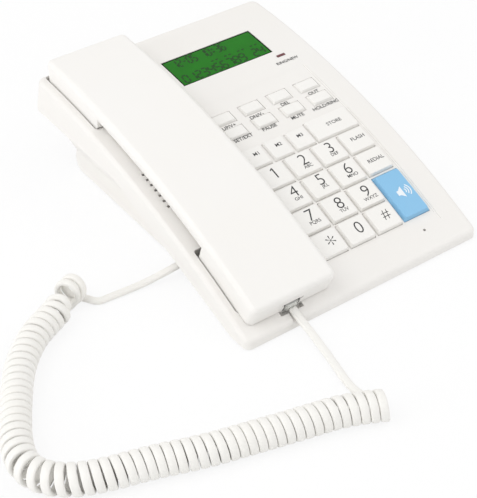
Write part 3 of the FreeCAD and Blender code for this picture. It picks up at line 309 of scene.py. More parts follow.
def rounded_outline(width, depth, radius, along=3, corner=6):
    """Rounded rectangle round the origin, counterclockwise: straight sides and quarter circles of the radius."""
    half = np.array((width / 2 - radius, depth / 2 - radius))
    turns = np.linspace(0, math.pi / 2, corner + 1)
    points = []
    signs = ((1, -1), (1, 1), (-1, 1), (-1, -1))
    for k in range(4):
        angles = turns - math.pi / 2 + k * math.pi / 2
        direction = np.stack((np.cos(angles), np.sin(angles)), 1)
        points.append(half * signs[k] + radius * direction)
        ahead = half * signs[(k + 1) % 4] + radius * direction[-1]
        steps = np.linspace(0, 1, along + 2)[1:-1, None]
        points.append(points[-1][-1] * (1 - steps) + ahead * steps)
    return np.concatenate(points)


def ring_surface(rings):
    """Skin from rounded rectangles: each ring has its width, depth, corner, way off the middle to the right and the
    rear, and height."""
    moved = []
    for width, depth, corner, off, height in rings:
        outline = rounded_outline(width, depth, corner)
        moved.append(np.column_stack((outline + off, np.full(len(outline), height))))
    return np.stack(moved)


def capped(rows, columns):
    """Faces of stacked rings, each with its columns points, with the first and last ring closed by one face."""
    faces = [tuple(f) for f in grid_faces(rows, columns, close_columns=True)]
    faces.append(tuple(range(columns - 1, -1, -1)))
    faces.append(tuple((rows - 1) * columns + j for j in range(columns)))
    return faces


def read_route(points):
    """Millimetre points of a smooth NURBS line with these control points."""
    curve = bpy.data.curves.new("route", "CURVE")
    curve.dimensions = "3D"
    curve.resolution_u = 24
    spline = curve.splines.new("NURBS")
    spline.points.add(len(points) - 1)
    spline.points.foreach_set("co", np.column_stack((np.asarray(points) * MM, np.ones(len(points)))).ravel())
    spline.order_u = 3
    spline.use_endpoint_u = True
    holder = bpy.data.objects.new("route", curve)
    line = bpy.data.meshes.new_from_object(holder)
    found = np.zeros(len(line.vertices) * 3)
    line.vertices.foreach_get("co", found)
    bpy.data.objects.remove(holder)
    bpy.data.curves.remove(curve)
    bpy.data.meshes.remove(line)
    return found.reshape(-1, 3) / MM


def along_line(points, step):
    """Evenly spaced points on a line, and the length so far at each."""
    length = np.concatenate(((0.0,), np.cumsum(np.linalg.norm(np.diff(points, axis=0), axis=1))))
    places = np.linspace(0, length[-1], max(2, int(round(length[-1] / step)) + 1))
    return np.stack([np.interp(places, length, points[:, k]) for k in range(3)], 1), places


def unit(vectors):
    """Vectors of length one."""
    return vectors / np.linalg.norm(vectors, axis=-1, keepdims=True)


def tube(name, line, thin, material):
    """Skin of a flat cable. Each ring is a rounded rectangle: width across the cable, thickness along thin.

    A ring's point is centre + w cos(t)|cos(t)|^(2/n-1) across + h sin(t)|sin(t)|^(2/n-1) thin, a superellipse, where
    w and h are half the width and half the thickness, and n is TUBE_SQUARENESS.
    """
    tangent = unit(np.gradient(line, axis=0))
    thin = unit(thin - tangent * np.sum(thin * tangent, 1, keepdims=True))
    across = np.cross(tangent, thin)
    t = np.linspace(0, 2 * math.pi, TUBE_SIDES, endpoint=False) + math.pi / TUBE_SIDES
    power = 2 / TUBE_SQUARENESS
    wide = WIRE_WIDTH / 2 * np.sign(np.cos(t)) * np.abs(np.cos(t)) ** power
    high = WIRE_THICKNESS / 2 * np.sign(np.sin(t)) * np.abs(np.sin(t)) ** power
    rings = line[:, None, :] + across[:, None, :] * wide[None, :, None] + thin[:, None, :] * high[None, :, None]
    length = np.concatenate(((0.0,), np.cumsum(np.linalg.norm(np.diff(line, axis=0), axis=1))))
    around = (np.arange(TUBE_SIDES) / TUBE_SIDES)[None, :]
    uv = np.stack(np.broadcast_arrays(length[:, None] * TUBE_UV_SCALE, around), -1)
    return add_piece(name, rings, capped(len(line), TUBE_SIDES), material, uv=uv)


# Shader maths


class Value:
    """One value in a material. Sums, products and comparisons with numbers or other values add Math nodes."""

    def __init__(self, finish, socket):
        self.finish = finish
        self.socket = socket

    def maths(self, operation, first, second):
        """Math node of two values or numbers."""
        return self.finish.add("ShaderNodeMath", {"operation": operation}, {0: first, 1: second})

    def __add__(self, other):
        return self.maths("ADD", self, other)

    def __sub__(self, other):
        return self.maths("SUBTRACT", self, other)

    def __mul__(self, other):
        return self.maths("MULTIPLY", self, other)

    def __gt__(self, other):
        return self.maths("GREATER_THAN", self, other)

    def __radd__(self, other):
        return self.maths("ADD", other, self)

    def __rsub__(self, other):
        return self.maths("SUBTRACT", other, self)

    def __rmul__(self, other):
        return self.maths("MULTIPLY", other, self)


class Finish:
    """A material under construction, with its Principled shader."""

    def __init__(self, name):
        self.material = bpy.data.materials.new(name)
        self.material.use_nodes = True
        self.nodes = self.material.node_tree.nodes
        self.links = self.material.node_tree.links
        self.shader = self.nodes["Principled BSDF"]

    def add(self, kind, settings=None, sockets=None, output=0):
        """Adds a node, sets its settings, then fills its sockets. Returns one of its outputs as a Value."""
        node = self.nodes.new(kind)
        for name, value in (settings or {}).items():
            setattr(node, name, value)
        for key, value in (sockets or {}).items():
            self.fill(node.inputs[key], value)
        return Value(self, node.outputs[output])

    def fill(self, socket, value):
        """Links a Value to a socket, or writes a constant on it."""
        if isinstance(value, Value):
            self.links.new(value.socket, socket)
        elif socket.type == "RGBA":
            socket.default_value = (*value, 1.0)
        else:
            socket.default_value = value

    def set(self, **sockets):
        """Fills sockets of the Principled shader, named with _ for a space."""
        for name, value in sockets.items():
            self.fill(self.shader.inputs[name.replace("_", " ")], value)

    def place(self, scale=(1, 1, 1), source="Object"):
        """Object coordinates or the UV map, scaled."""
        where = self.add("ShaderNodeTexCoord", output=source)
        return self.add("ShaderNodeMapping", {}, {"Vector": where, "Scale": scale})

    def noise(self, scale, detail=3.0, roughness=0.55, where=None):
        """Cloudy noise from 0 to 1, scale in lumps for each metre."""
        where = where or self.place()
        return self.add("ShaderNodeTexNoise", {}, {"Vector": where, "Scale": scale, "Detail": detail,
                                                   "Roughness": roughness})

    def mix(self, factor, first, second):
        """Colour between two colours."""
        return self.add("ShaderNodeMix", {"data_type": "RGBA"}, {0: factor, 6: first, 7: second}, 2)

    def least(self, first, second):
        """The lesser of two values."""
        return self.add("ShaderNodeMath", {"operation": "MINIMUM"}, {0: first, 1: second})

    def bump(self, height, strength, distance):
        """Fine relief on the surface, distance in metres."""
        return self.add("ShaderNodeBump", {}, {"Height": height, "Strength": strength, "Distance": distance})


FINISHES = {}


def finish(name):
    """The finished material of that name, made when it is first asked for."""
    if name not in FINISHES:
        maker, *values = MAKERS[name]
        FINISHES[name] = maker(*values)
    return FINISHES[name]


def set_colour(name):
    """Colour of that name in the scene's settings."""
    return tuple(getattr(bpy.context.scene.phone_colours, name))


def moulded(name, colour, roughness, grain=2200.0, relief=0.25):
    """Moulded plastic: a fine eroded grain, soft tone changes from the tool, and a few rubbed, glossier places. The
    colour is given, or named in the settings."""
    made = Finish(name)
    colour = set_colour(colour) if isinstance(colour, str) else colour
    tone = made.noise(14.0, 2.0)
    speck = made.noise(grain, 2.0)
    warmer = tuple(c * k for c, k in zip(colour, (0.985, 0.972, 0.945)))
    made.set(Base_Color=made.mix(tone * 0.8 + speck * 0.12, colour, warmer))
    rubbed = made.noise(32.0, 4.0)
    made.set(Roughness=roughness + rubbed * 0.12 - 0.06 + speck * 0.05)
    made.set(Normal=made.bump(speck, relief, 0.00004))
    made.set(Specular_IOR_Level=0.45)
    return made.material


def cloudy(name, scale, detail, first, second, roughness, spread, **others):
    """Surface whose clouds run from the first colour to the second, and add up to the spread to its roughness."""
    made = Finish(name)
    cloud = made.noise(scale, detail)
    made.set(Base_Color=made.mix(cloud, first, second), Roughness=roughness + cloud * spread, **others)
    return made.material


def printed(name, colour, wear=0.5):
    """Screen ink: nearly even, thinner in small places."""
    lighter = tuple(min(1.0, c + 0.06 * wear) for c in colour)
    return cloudy(name, 900.0, 2.0, colour, lighter, 0.5, 0.1)


def make_cord_sheath():
    """Soft vinyl: faint draw lines along the cable, and slow changes of tone along its length."""
    made = Finish("cord_sheath")
    where = made.place((1.0, 60.0, 1.0), "UV")
    lines = made.add("ShaderNodeTexNoise", {}, {"Vector": where, "Scale": 6.0, "Detail": 2.0})
    slow = made.noise(40.0, 3.0)
    colour = set_colour("cord")
    warmer = tuple(c * k for c, k in zip(colour, (0.98, 0.965, 0.93)))
    made.set(Base_Color=made.mix(slow * 0.7 + lines * 0.2, colour, warmer))
    made.set(Roughness=0.36 + slow * 0.14)
    made.set(Normal=made.bump(lines, 0.2, 0.00005))
    return made.material


def make_window_green():
    """Green display: dim cells in fine bands, cloudy tint, and a thin line of painted shade along the border, where the
    recess shades the pane's edge.

    The way from the border is min(u, 1 - u) times the width or min(v, 1 - v) times the depth, whichever is less.
    """
    made = Finish("window_green")
    where = made.place((1.0, 1.0, 1.0), "UV")
    u = made.add("ShaderNodeSeparateXYZ", {}, {"Vector": where}, 0)
    v = made.add("ShaderNodeSeparateXYZ", {}, {"Vector": where}, 1)
    across = made.least(u, 1 - u) * (WINDOW[1] - WINDOW[0])
    along = made.least(v, 1 - v) * (WINDOW[3] - WINDOW[2])
    # Near the pane's edge the colour is painted shade, a nearly black green that stands in for the recess's shadow
    inner = made.least(across, along) > PAINTED_SHADE_WIDTH
    bands = made.add("ShaderNodeTexWave", {"wave_type": "BANDS", "bands_direction": "X"},
                     {"Vector": where, "Scale": 22.0, "Distortion": 0.0})
    mottle = made.noise(120.0, 4.0)
    green = set_colour("window")
    tint = made.mix(mottle * 0.7 + bands * 0.15, tuple(c * 0.72 for c in green), tuple(c * 1.2 for c in green))
    made.set(Base_Color=made.mix(inner, tuple(c * 0.05 for c in green), tint), Roughness=0.38 + mottle * 0.08)
    made.set(Specular_IOR_Level=0.15)
    return made.material


def make_glyph_ink():
    """Dark crystal segments, uneven where the display's colour shows through."""
    return cloudy("display_segments", 160.0, 3.0, (0.004, 0.035, 0.003), (0.010, 0.060, 0.006), 0.4, 0.08,
                  Specular_IOR_Level=0.3)


def make_lamp():
    """Clear dark red lens with a deeper heart."""
    return cloudy("lamp_red", 500.0, 2.0, (0.09, 0.006, 0.012), (0.16, 0.015, 0.025), 0.15, 0.05, Coat_Weight=0.8)


def make_rubber():
    """Black rubber of the feet, with a coarse grain and grey dust."""
    made = Finish("foot_rubber")
    dust = made.noise(300.0, 4.0)
    made.set(Base_Color=made.mix(dust, (0.02, 0.02, 0.02), (0.06, 0.06, 0.058)), Roughness=0.7 + dust * 0.2)
    made.set(Normal=made.bump(made.noise(1500.0, 2.0), 0.4, 0.00006))
    return made.material


def make_silicone():
    """Grey silicone of the keys' mat, dusty in places."""
    return cloudy("mat_silicone", 200.0, 3.0, (0.42, 0.42, 0.40), (0.52, 0.52, 0.50), 0.6, 0.15)


def make_steel():
    """Plated steel with fine turning lines and dull spots."""
    made = Finish("plated_steel")
    lines = made.noise(60.0, 5.0, 0.6, made.place((1.0, 1.0, 30.0)))
    spots = made.noise(700.0, 3.0)
    made.set(Base_Color=made.mix(spots, (0.50, 0.50, 0.49), (0.62, 0.62, 0.63)), Metallic=1.0,
             Roughness=0.28 + lines * 0.2)
    made.set(Normal=made.bump(lines, 0.2, 0.00003))
    return made.material


def make_board():
    """Circuit board: green lacquer over copper tracks, which show as a lighter grid."""
    made = Finish("circuit_board")
    tracks = made.add("ShaderNodeTexBrick", {"offset": 0.5}, {"Vector": made.place(), "Scale": 120.0,
                                                               "Mortar Size": 0.08, "Color1": (0, 0, 0),
                                                               "Color2": (0, 0, 0), "Mortar": (1, 1, 1)}, 1)
    cloud = made.noise(90.0, 2.0)
    made.set(Base_Color=made.mix(tracks * 0.7 + cloud * 0.15, (0.010, 0.11, 0.035), (0.03, 0.22, 0.07)),
             Roughness=0.35 + cloud * 0.1)
    return made.material


def make_black_metal():
    """Dark lacquered metal of the capsules, cloudy where it is handled."""
    return cloudy("black_metal", 250.0, 3.0, (0.02, 0.02, 0.022), (0.05, 0.05, 0.052), 0.42, 0.15, Metallic=0.5)


def make_clear_plastic():
    """Clear plug body: a pale, slightly cloudy tint under a glossy coat."""
    return cloudy("clear_plug", 420.0, 3.0, (0.66, 0.66, 0.62), (0.84, 0.85, 0.82), 0.12, 0.12, Coat_Weight=0.5)


# What makes the material of each slot, and the values that it is given
BLACK_PLASTIC = (moulded, "jack_plastic", (0.035, 0.035, 0.037), 0.42, 2400.0, 0.2)
MAKERS = {
    "body": (moulded, "body_plastic", "body", 0.46),
    "handset": (moulded, "handset_plastic", "handset", 0.40, 2600.0, 0.15),
    "keys": (moulded, "key_plastic", "keys", 0.38, 3000.0, 0.12),
    "speaker_key": (moulded, "speaker_key_plastic", "speaker_key", 0.34, 3000.0, 0.12),
    "display": (moulded, "display_frame", (0.20, 0.24, 0.19), 0.5),
    "jack": BLACK_PLASTIC, "switch": BLACK_PLASTIC,
    "ink": (printed, "legend_ink", (0.020, 0.020, 0.022)),
    "white_ink": (printed, "white_ink", (0.82, 0.86, 0.90), 0.2),
    "cord": (make_cord_sheath,), "window": (make_window_green,), "glyphs": (make_glyph_ink,), "lamp": (make_lamp,),
    "feet": (make_rubber,), "membrane": (make_silicone,), "screw": (make_steel,), "weight": (make_steel,),
    "board": (make_board,), "capsule": (make_black_metal,), "plug": (make_clear_plastic,),
}


def all_keys():
    """Name, left edge, front edge, width and depth of each key."""
    keys = []
    for s, row in zip(NUMBER_ROWS, NUMBER_LEGENDS):
        for x, legend in zip(NUMBER_COLUMNS, row):
            keys.append((legend[0], x, s) + NUMBER_SIZE)
    keys += [key[:5] for key in WORD_KEYS]
    keys.append(SPEAKER_KEY)
    for left, s, row in BAR_ROWS:
        keys += [(name, left + i * BAR_PITCH, s) + BAR_SIZE for i, name in enumerate(row)]
    return keys


def printed_text(words, size, middle, thicker=WORD_THICKENING):
    """Words as a thin solid in millimetres, with their middle at a place in the plane. Returns points and faces."""
    curve = bpy.data.curves.new("words", "FONT")
    curve.body = words
    curve.size = size
    curve.offset = thicker * size
    curve.extrude = PRINT_THICKNESS / 2
    curve.resolution_u = 4
    holder = bpy.data.objects.new("words", curve)
    mesh = bpy.data.meshes.new_from_object(holder)
    merged = bmesh.new()
    merged.from_mesh(mesh)
    bmesh.ops.remove_doubles(merged, verts=merged.verts, dist=PRINT_WELD)
    points = np.array([v.co for v in merged.verts])
    faces = [tuple(v.index for v in f.verts) for f in merged.faces]
    merged.free()
    bpy.data.objects.remove(holder)
    bpy.data.curves.remove(curve)
    bpy.data.meshes.remove(mesh)
    points -= (points.min(0) + points.max(0)) / 2
    return points + (*middle, 0.0), faces


def raised_outline(outline):
    """Thin solid over a flat outline that runs counterclockwise: its upper and lower face and the rim between."""
    outline = np.asarray(outline, float)
    low = np.column_stack((outline, np.full(len(outline), -PRINT_THICKNESS / 2)))
    return np.concatenate((low, low + (0.0, 0.0, PRINT_THICKNESS))), capped(2, len(outline))


def joined(parts):
    """Several prints as one: points and faces of all."""
    points = []
    faces = []
    total = 0
    for found, found_faces in parts:
        points.append(found)
        faces += [tuple(i + total for i in face) for face in found_faces]
        total += len(found)
    return np.concatenate(points), faces


def print_on_key(name, body, parts, middle, material):
    """Legend on a key's flat top. The parts lie round the key's middle, which is given in x and along the arc."""
    points, faces = joined(parts)
    points = points - (*middle, 0.0) + (0.0, 0.0, KEY_TOP_HEIGHT + PRINT_LIFT)
    piece = add_piece(name, tangent_plane(points, middle[1], middle[0]), faces, material, smooth=False)
    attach(piece, body)


def print_on_deck(name, parts, height, material):
    """Print at a height over the deck, below zero on a sunk face. The parts lie flat, in x and along the arc."""
    points, faces = joined(parts)
    place = deck(points[:, 1], points[:, 2] + height, points[:, 0])
    piece = add_piece(name, place, faces, material, smooth=False)
    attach(piece, "base")


# Lit bars of each character, the corners that they run between, and how high a colon's dots stand
SEGMENTS_LIT = {
    "0": "abcdef", "1": "bc", "2": "abged", "3": "abgcd", "4": "fgbc", "5": "afgcd", "6": "afgecd", "7": "abc",
    "8": "abcdefg", "9": "abcdfg", "-": "g", " ": "", ":": "xy",
}
SEGMENT_CORNERS = {"tl": (0, 1), "tr": (1, 1), "ml": (0, 0.5), "mr": (1, 0.5), "bl": (0, 0), "br": (1, 0)}
SEGMENT_ENDS = {
    "a": ("tl", "tr"), "b": ("mr", "tr"), "c": ("br", "mr"), "d": ("bl", "br"), "e": ("bl", "ml"), "f": ("ml", "tl"),
    "g": ("ml", "mr"),
}
COLON_DOTS = {"x": 0.3, "y": 0.7}


def segment_parts(words, left, bottom, pitch, width, height):
    """Characters of up to seven bars, leaning a little. A bar is a flat hexagon between two corners of the grid, and
    a colon is two square dots."""
    half = SEGMENT_STROKE / 2
    parts = []
    for k, sign in enumerate(words):
        for bar in SEGMENTS_LIT[sign]:
            if bar in COLON_DOTS:
                middle = np.array((0.5 * width, COLON_DOTS[bar] * height))
                outline = middle + half * COLON_DOT_SIZE * np.array(((-1, -1), (1, -1), (1, 1), (-1, 1)))
            else:
                a, b = (np.array(SEGMENT_CORNERS[end]) * (width, height) for end in SEGMENT_ENDS[bar])
                ahead = (b - a) / np.linalg.norm(b - a)
                side = np.array((-ahead[1], ahead[0]))
                a = a + ahead * half * SEGMENT_GAP
                b = b - ahead * half * SEGMENT_GAP
                outline = np.array((a, a + (ahead - side) * half, b - (ahead + side) * half, b,
                                    b - (ahead - side) * half, a + (ahead + side) * half))
            outline = outline + (left + k * pitch, bottom)
            outline[:, 0] += (outline[:, 1] - bottom) * SEGMENT_LEAN
            parts.append(raised_outline(outline))
    return parts


def sound_symbol(middle):
    """Loudspeaker symbol: a cone seen from its side, and arcs, each between two radii."""
    outlines = [np.array(SYMBOL_CONE)]
    turn = np.radians(np.linspace(-SYMBOL_ARC_SPREAD, SYMBOL_ARC_SPREAD, 13))
    arc = np.stack((np.cos(turn), np.sin(turn)), 1)
    for radius in SYMBOL_ARCS:
        sides = np.concatenate((arc * (radius + SYMBOL_ARC_HALF), arc[::-1] * (radius - SYMBOL_ARC_HALF)))
        outlines.append(sides + SYMBOL_ARC_MIDDLE)
    return [raised_outline(outline + middle) for outline in outlines]


# Settings and operators


class PhoneColours(bpy.types.PropertyGroup):
    """Colours of the phone's finishes."""
    body: FloatVectorProperty(name="Body", description="Plastic of the base", subtype="COLOR", size=3, min=0, max=1,
                              default=(0.86, 0.845, 0.825))
    handset: FloatVectorProperty(name="Handset", description="Plastic of the handset", subtype="COLOR", size=3,
                                 min=0, max=1, default=(0.88, 0.868, 0.85))
    keys: FloatVectorProperty(name="Keys", description="Plastic of the white keys", subtype="COLOR", size=3, min=0,
                              max=1, default=(0.88, 0.87, 0.85))
    speaker_key: FloatVectorProperty(name="Loudspeaker key", description="Plastic of the blue key", subtype="COLOR",
                                     size=3, min=0, max=1, default=(0.25, 0.53, 0.80))
    window: FloatVectorProperty(name="Window", description="Tint of the display window", subtype="COLOR", size=3,
                                min=0, max=1, default=(0.016, 0.19, 0.010))
    cord: FloatVectorProperty(name="Cord", description="Vinyl of the cord", subtype="COLOR", size=3, min=0, max=1,
                              default=(0.88, 0.872, 0.85))


class PhoneStage(bpy.types.PropertyGroup):
    """Powers of the lamps, and the strength of the surrounding light."""
    top_power: FloatProperty(name="Top lamp", description="Power of the high lamp on the left", default=6.0, min=0,
                             unit="POWER")
    right_power: FloatProperty(name="Right lamp", description="Power of the lamp on the right", default=3.0, min=0,
                               unit="POWER")
    front_power: FloatProperty(name="Front lamp", description="Power of the low lamp in front", default=0.3, min=0,
                               unit="POWER")
    left_power: FloatProperty(name="Left lamp", description="Power of the low lamp on the left", default=2.5, min=0,
                              unit="POWER")
    world_strength: FloatProperty(name="Surrounding light", description="Strength of the even light", default=0.8,
                                  min=0, soft_max=2, subtype="FACTOR")


class PHONE_OT_stage(bpy.types.Operator):
    """Camera, floor, backdrop and lamps"""
    bl_idname = "phone.stage"
    bl_label = "Studio stage"

    def execute(self, context):
        self.make_camera(context.scene)
        self.make_floor()
        self.make_lamps(context.scene.phone_stage)
        self.make_world(context.scene)
        context.scene.view_settings.view_transform = "Standard"
        return {"FINISHED"}

    def make_camera(self, scene):
        """Camera of the photograph, turned by its roll about the way it looks."""
        a = math.radians(CAMERA_AZIMUTH)
        e = math.radians(CAMERA_ELEVATION)
        r = math.radians(CAMERA_ROLL)
        look = np.array((-math.sin(a) * math.cos(e), math.cos(a) * math.cos(e), -math.sin(e)))
        right = np.array((math.cos(a), math.sin(a), 0.0))
        up = np.cross(right, look)
        right, up = math.cos(r) * right + math.sin(r) * up, -math.sin(r) * right + math.cos(r) * up
        data = bpy.data.cameras.new("photo_camera")
        data.sensor_width = SENSOR_WIDTH
        data.lens = SENSOR_WIDTH * FOCAL_POINTS / max(PICTURE_WIDTH, PICTURE_HEIGHT)
        data.clip_start, data.clip_end = CAMERA_CLIP
        camera = bpy.data.objects.new("photo_camera", data)
        matrix = np.eye(4)
        matrix[:3, 0] = right
        matrix[:3, 1] = up
        matrix[:3, 2] = -look
        matrix[:3, 3] = np.array(CAMERA_PLACE) * MM
        camera.matrix_world = Matrix(matrix.tolist())
        scene.collection.objects.link(camera)
        scene.camera = camera

    def make_floor(self):
        """Floor that turns up into a backdrop: a flat sheet, then a quarter circle, then a wall."""
        t = np.linspace(0, math.pi / 2, 17)
        bend = np.stack((FLOOR_BACK + BACKDROP_RADIUS * np.sin(t), BACKDROP_RADIUS * (1 - np.cos(t))), 1)
        profile = np.concatenate((((FLOOR_FRONT, 0.0),), bend, ((FLOOR_BACK + BACKDROP_RADIUS, BACKDROP_TOP),)))
        x = np.linspace(-FLOOR_HALF_WIDTH, FLOOR_HALF_WIDTH, 5)
        points = np.stack(np.broadcast_arrays(x[None, :], profile[:, :1], profile[:, 1:]), -1)
        made = Finish("pale_floor")
        made.set(Base_Color=made.mix(made.noise(3.0, 2.0), (0.90, 0.90, 0.90), (0.93, 0.93, 0.93)), Roughness=0.8)
        glow = made.add("ShaderNodeEmission", {}, {"Color": (1.0, 1.0, 1.0), "Strength": 1.0})
        camera_ray = made.add("ShaderNodeLightPath", output="Is Camera Ray")
        glossy_ray = made.add("ShaderNodeLightPath", output="Is Glossy Ray")
        seen = camera_ray * FLOOR_WHITE_SEEN + glossy_ray * FLOOR_WHITE_MIRRORED
        mixed = made.add("ShaderNodeMixShader", {}, {0: seen, 1: Value(made, made.shader.outputs[0]), 2: glow})
        made.fill(made.nodes["Material Output"].inputs["Surface"], mixed)
        floor = add_piece("floor", points, grid_faces(len(profile), len(x)), made.material)

    def make_lamps(self, settings):
        """Square lamps that all face the frame's origin."""
        for name, place, size, power in LAMPS:
            data = bpy.data.lights.new(name, "AREA")
            data.shape = "SQUARE"
            data.size = size
            data.energy = getattr(settings, power)
            lamp = bpy.data.objects.new(name, data)
            lamp.location = np.array(place) * MM
            lamp.rotation_mode = "QUATERNION"
            lamp.rotation_quaternion = lamp.location.to_track_quat("Z", "Y")
            bpy.context.scene.collection.objects.link(lamp)

    def make_world(self, scene):
        """Even white light from all sides."""
        world = bpy.data.worlds.new("studio")
        world.use_nodes = True
        back = world.node_tree.nodes["Background"]
        back.inputs["Color"].default_value = (1.0, 1.0, 1.0, 1.0)
        back.inputs["Strength"].default_value = scene.phone_stage.world_strength
        scene.world = world


def coil_line():
    """Centre line of the curly part, and the way outwards from its axis.

    The axis is the route's NURBS line at the coil's height. Its turn has the phase p(u), which grows by one turn for
    each pitch, and a point is axis + r cos p up + r sin p sideways. The pitch grows with the swing, which is how far
    the axis turns in a millimetre, so the rings stand apart round a bend. The first rings are turned and tilted for
    the length of the hold, and then ease into line.
    """
    route = [(x, y, COIL_HEIGHT) for x, y in COIL_ROUTE]
    axis, u = along_line(read_route(route), AXIS_STEP)
    ahead = unit(np.gradient(axis, axis=0))
    left = np.clip(1 - (u - FIRST_RING_HOLD) / FIRST_RING_LENGTH, 0, 1)
    ease = left * left * (3 - 2 * left)
    heading = np.unwrap(np.arctan2(ahead[:, 1], ahead[:, 0])) + math.radians(FIRST_RING_TURN) * ease
    tilt = math.radians(FIRST_RING_TILT) * ease
    ahead = np.stack((np.cos(heading) * np.cos(tilt), np.sin(heading) * np.cos(tilt), np.sin(tilt)), 1)
    one = int(round(1.0 / (u[1] - u[0])))
    after, before = (ahead[np.clip(np.arange(len(u)) + steps, 0, len(u) - 1)] for steps in (one, -one))
    swing = np.arccos(np.clip(np.sum(after * before, 1), -1, 1)) / 2
    pitch = COIL_PITCH * (1 + COIL_BEND_SPREAD * np.minimum(swing, COIL_MOST_SWING))
    turned = np.concatenate(((0.0,), np.cumsum(np.diff(u) / pitch[1:])))
    turns = int(turned[-1])
    phase = math.pi + 2 * math.pi * turned * (turns / turned[-1])
    steps = math.pi + 2 * math.pi * np.linspace(0, turns, turns * COIL_STEPS + 1)
    where = np.interp(steps, phase, u)

    def read(values):
        """Rows of values at the steps of the coil."""
        return np.stack([np.interp(where, u, values[:, k]) for k in range(3)], 1)

    centre = read(axis + np.array((0.0, 0.0, 1.0)) * (FIRST_RING_LIFT * ease)[:, None])
    ahead = unit(read(ahead))
    sideways = unit(np.cross(ahead, (0.0, 0.0, 1.0)))
    up = np.cross(sideways, ahead)
    out = up * np.cos(steps)[:, None] + sideways * np.sin(steps)[:, None]
    return centre + out * COIL_RADIUS, out


def handset_plug_end():
    """Where the cable leaves the handset's plug, and its way out."""
    angle = math.radians(FRONT_SLOPE) - HANDSET_PLUG_S / KEY_TOP_RADIUS
    way = np.array((0.0, -math.cos(angle), -math.sin(angle)))
    return key_arc(HANDSET_PLUG_S, HANDSET_PLUG_H, HANDSET_PLUG_X), way


def level(vector):
    """The same direction without its rise."""
    flat = np.array((vector[0], vector[1], 0.0))
    return flat / np.linalg.norm(flat)


class PHONE_OT_cord(bpy.types.Operator):
    """Curly cord with its lead to the base, and its lead to the handset"""
    bl_idname = "phone.cord"
    bl_label = "Curly cord"

    def execute(self, context):
        coil, out = coil_line()
        first_way = level(coil[1] - coil[0])
        last_way = level(coil[-1] - coil[-2])
        base_route = [*BASE_LEAD, coil[0] - first_way * LEAD_END_RUN, coil[0]]
        lead, _ = along_line(read_route(base_route), LEAD_STEP)
        down = np.array(((0.0, 0.0, -1.0),))
        line = np.concatenate((lead[:-1], coil))
        thin = np.concatenate((np.repeat(down, len(lead) - 1, 0), out))
        cord = tube("curly_cord_sheath", line, thin, finish("cord"))
        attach(cord, "base")
        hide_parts("curly_cord", "cord_lead_base")
        plug_end, plug_way = handset_plug_end()
        handset_route = [coil[-1], coil[-1] + last_way * LEAD_END_RUN, *HANDSET_LEAD,
                         plug_end + plug_way * HANDSET_PLUG_RUN, plug_end + plug_way * HANDSET_PLUG_GAP]
        lead, _ = along_line(read_route(handset_route), LEAD_STEP)
        thin = np.repeat(down, len(lead), 0)
        end = tube("handset_lead_sheath", lead, thin, finish("cord"))
        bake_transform(end)
        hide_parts("cord_lead_handset")
        return {"FINISHED"}


def smooth_by_angle():
    """Node group that keeps edges sharper than the angle and smooths the rest."""
    group = bpy.data.node_groups.new("smooth_by_angle", "GeometryNodeTree")
    for way in ("INPUT", "OUTPUT"):
        group.interface.new_socket("Geometry", in_out=way, socket_type="NodeSocketGeometry")
    nodes = group.nodes
    source = nodes.new("NodeGroupInput")
    target = nodes.new("NodeGroupOutput")
    angle = nodes.new("GeometryNodeInputMeshEdgeAngle")
    compare = nodes.new("FunctionNodeCompare")
    compare.data_type = "FLOAT"
    compare.operation = "LESS_EQUAL"
    compare.inputs[1].default_value = math.radians(NODE_SHARP_ANGLE)
    faces = nodes.new("GeometryNodeSetShadeSmooth")
    faces.domain = "FACE"
    edges = nodes.new("GeometryNodeSetShadeSmooth")
    edges.domain = "EDGE"
    group.links.new(angle.outputs[0], compare.inputs[0])
    group.links.new(source.outputs[0], faces.inputs["Geometry"])
    group.links.new(faces.outputs[0], edges.inputs["Geometry"])
    group.links.new(compare.outputs[0], edges.inputs["Shade Smooth"])
    group.links.new(edges.outputs[0], target.inputs[0])
    return group


class PHONE_OT_shells(bpy.types.Operator):
    """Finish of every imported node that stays: its plastic, rubber or metal, and smooth shading over its curves"""
    bl_idname = "phone.shells"
    bl_label = "Shells and inner pieces"

    def execute(self, context):
        group = smooth_by_angle()
        slots = {part["node"]: part["material_slot"] for part in frame["record"]["subparts"]}
        for name, node in frame["nodes"].items():
            node.data.materials.clear()
            node.data.materials.append(finish(slots[name]))
            weld = node.modifiers.new("weld", "WELD")
            weld.merge_threshold = NODE_WELD
            angle = node.modifiers.new("smooth", "NODES")
            angle.node_group = group
            normals = node.modifiers.new("normals", "WEIGHTED_NORMAL")
            normals.keep_sharp = True
        return {"FINISHED"}


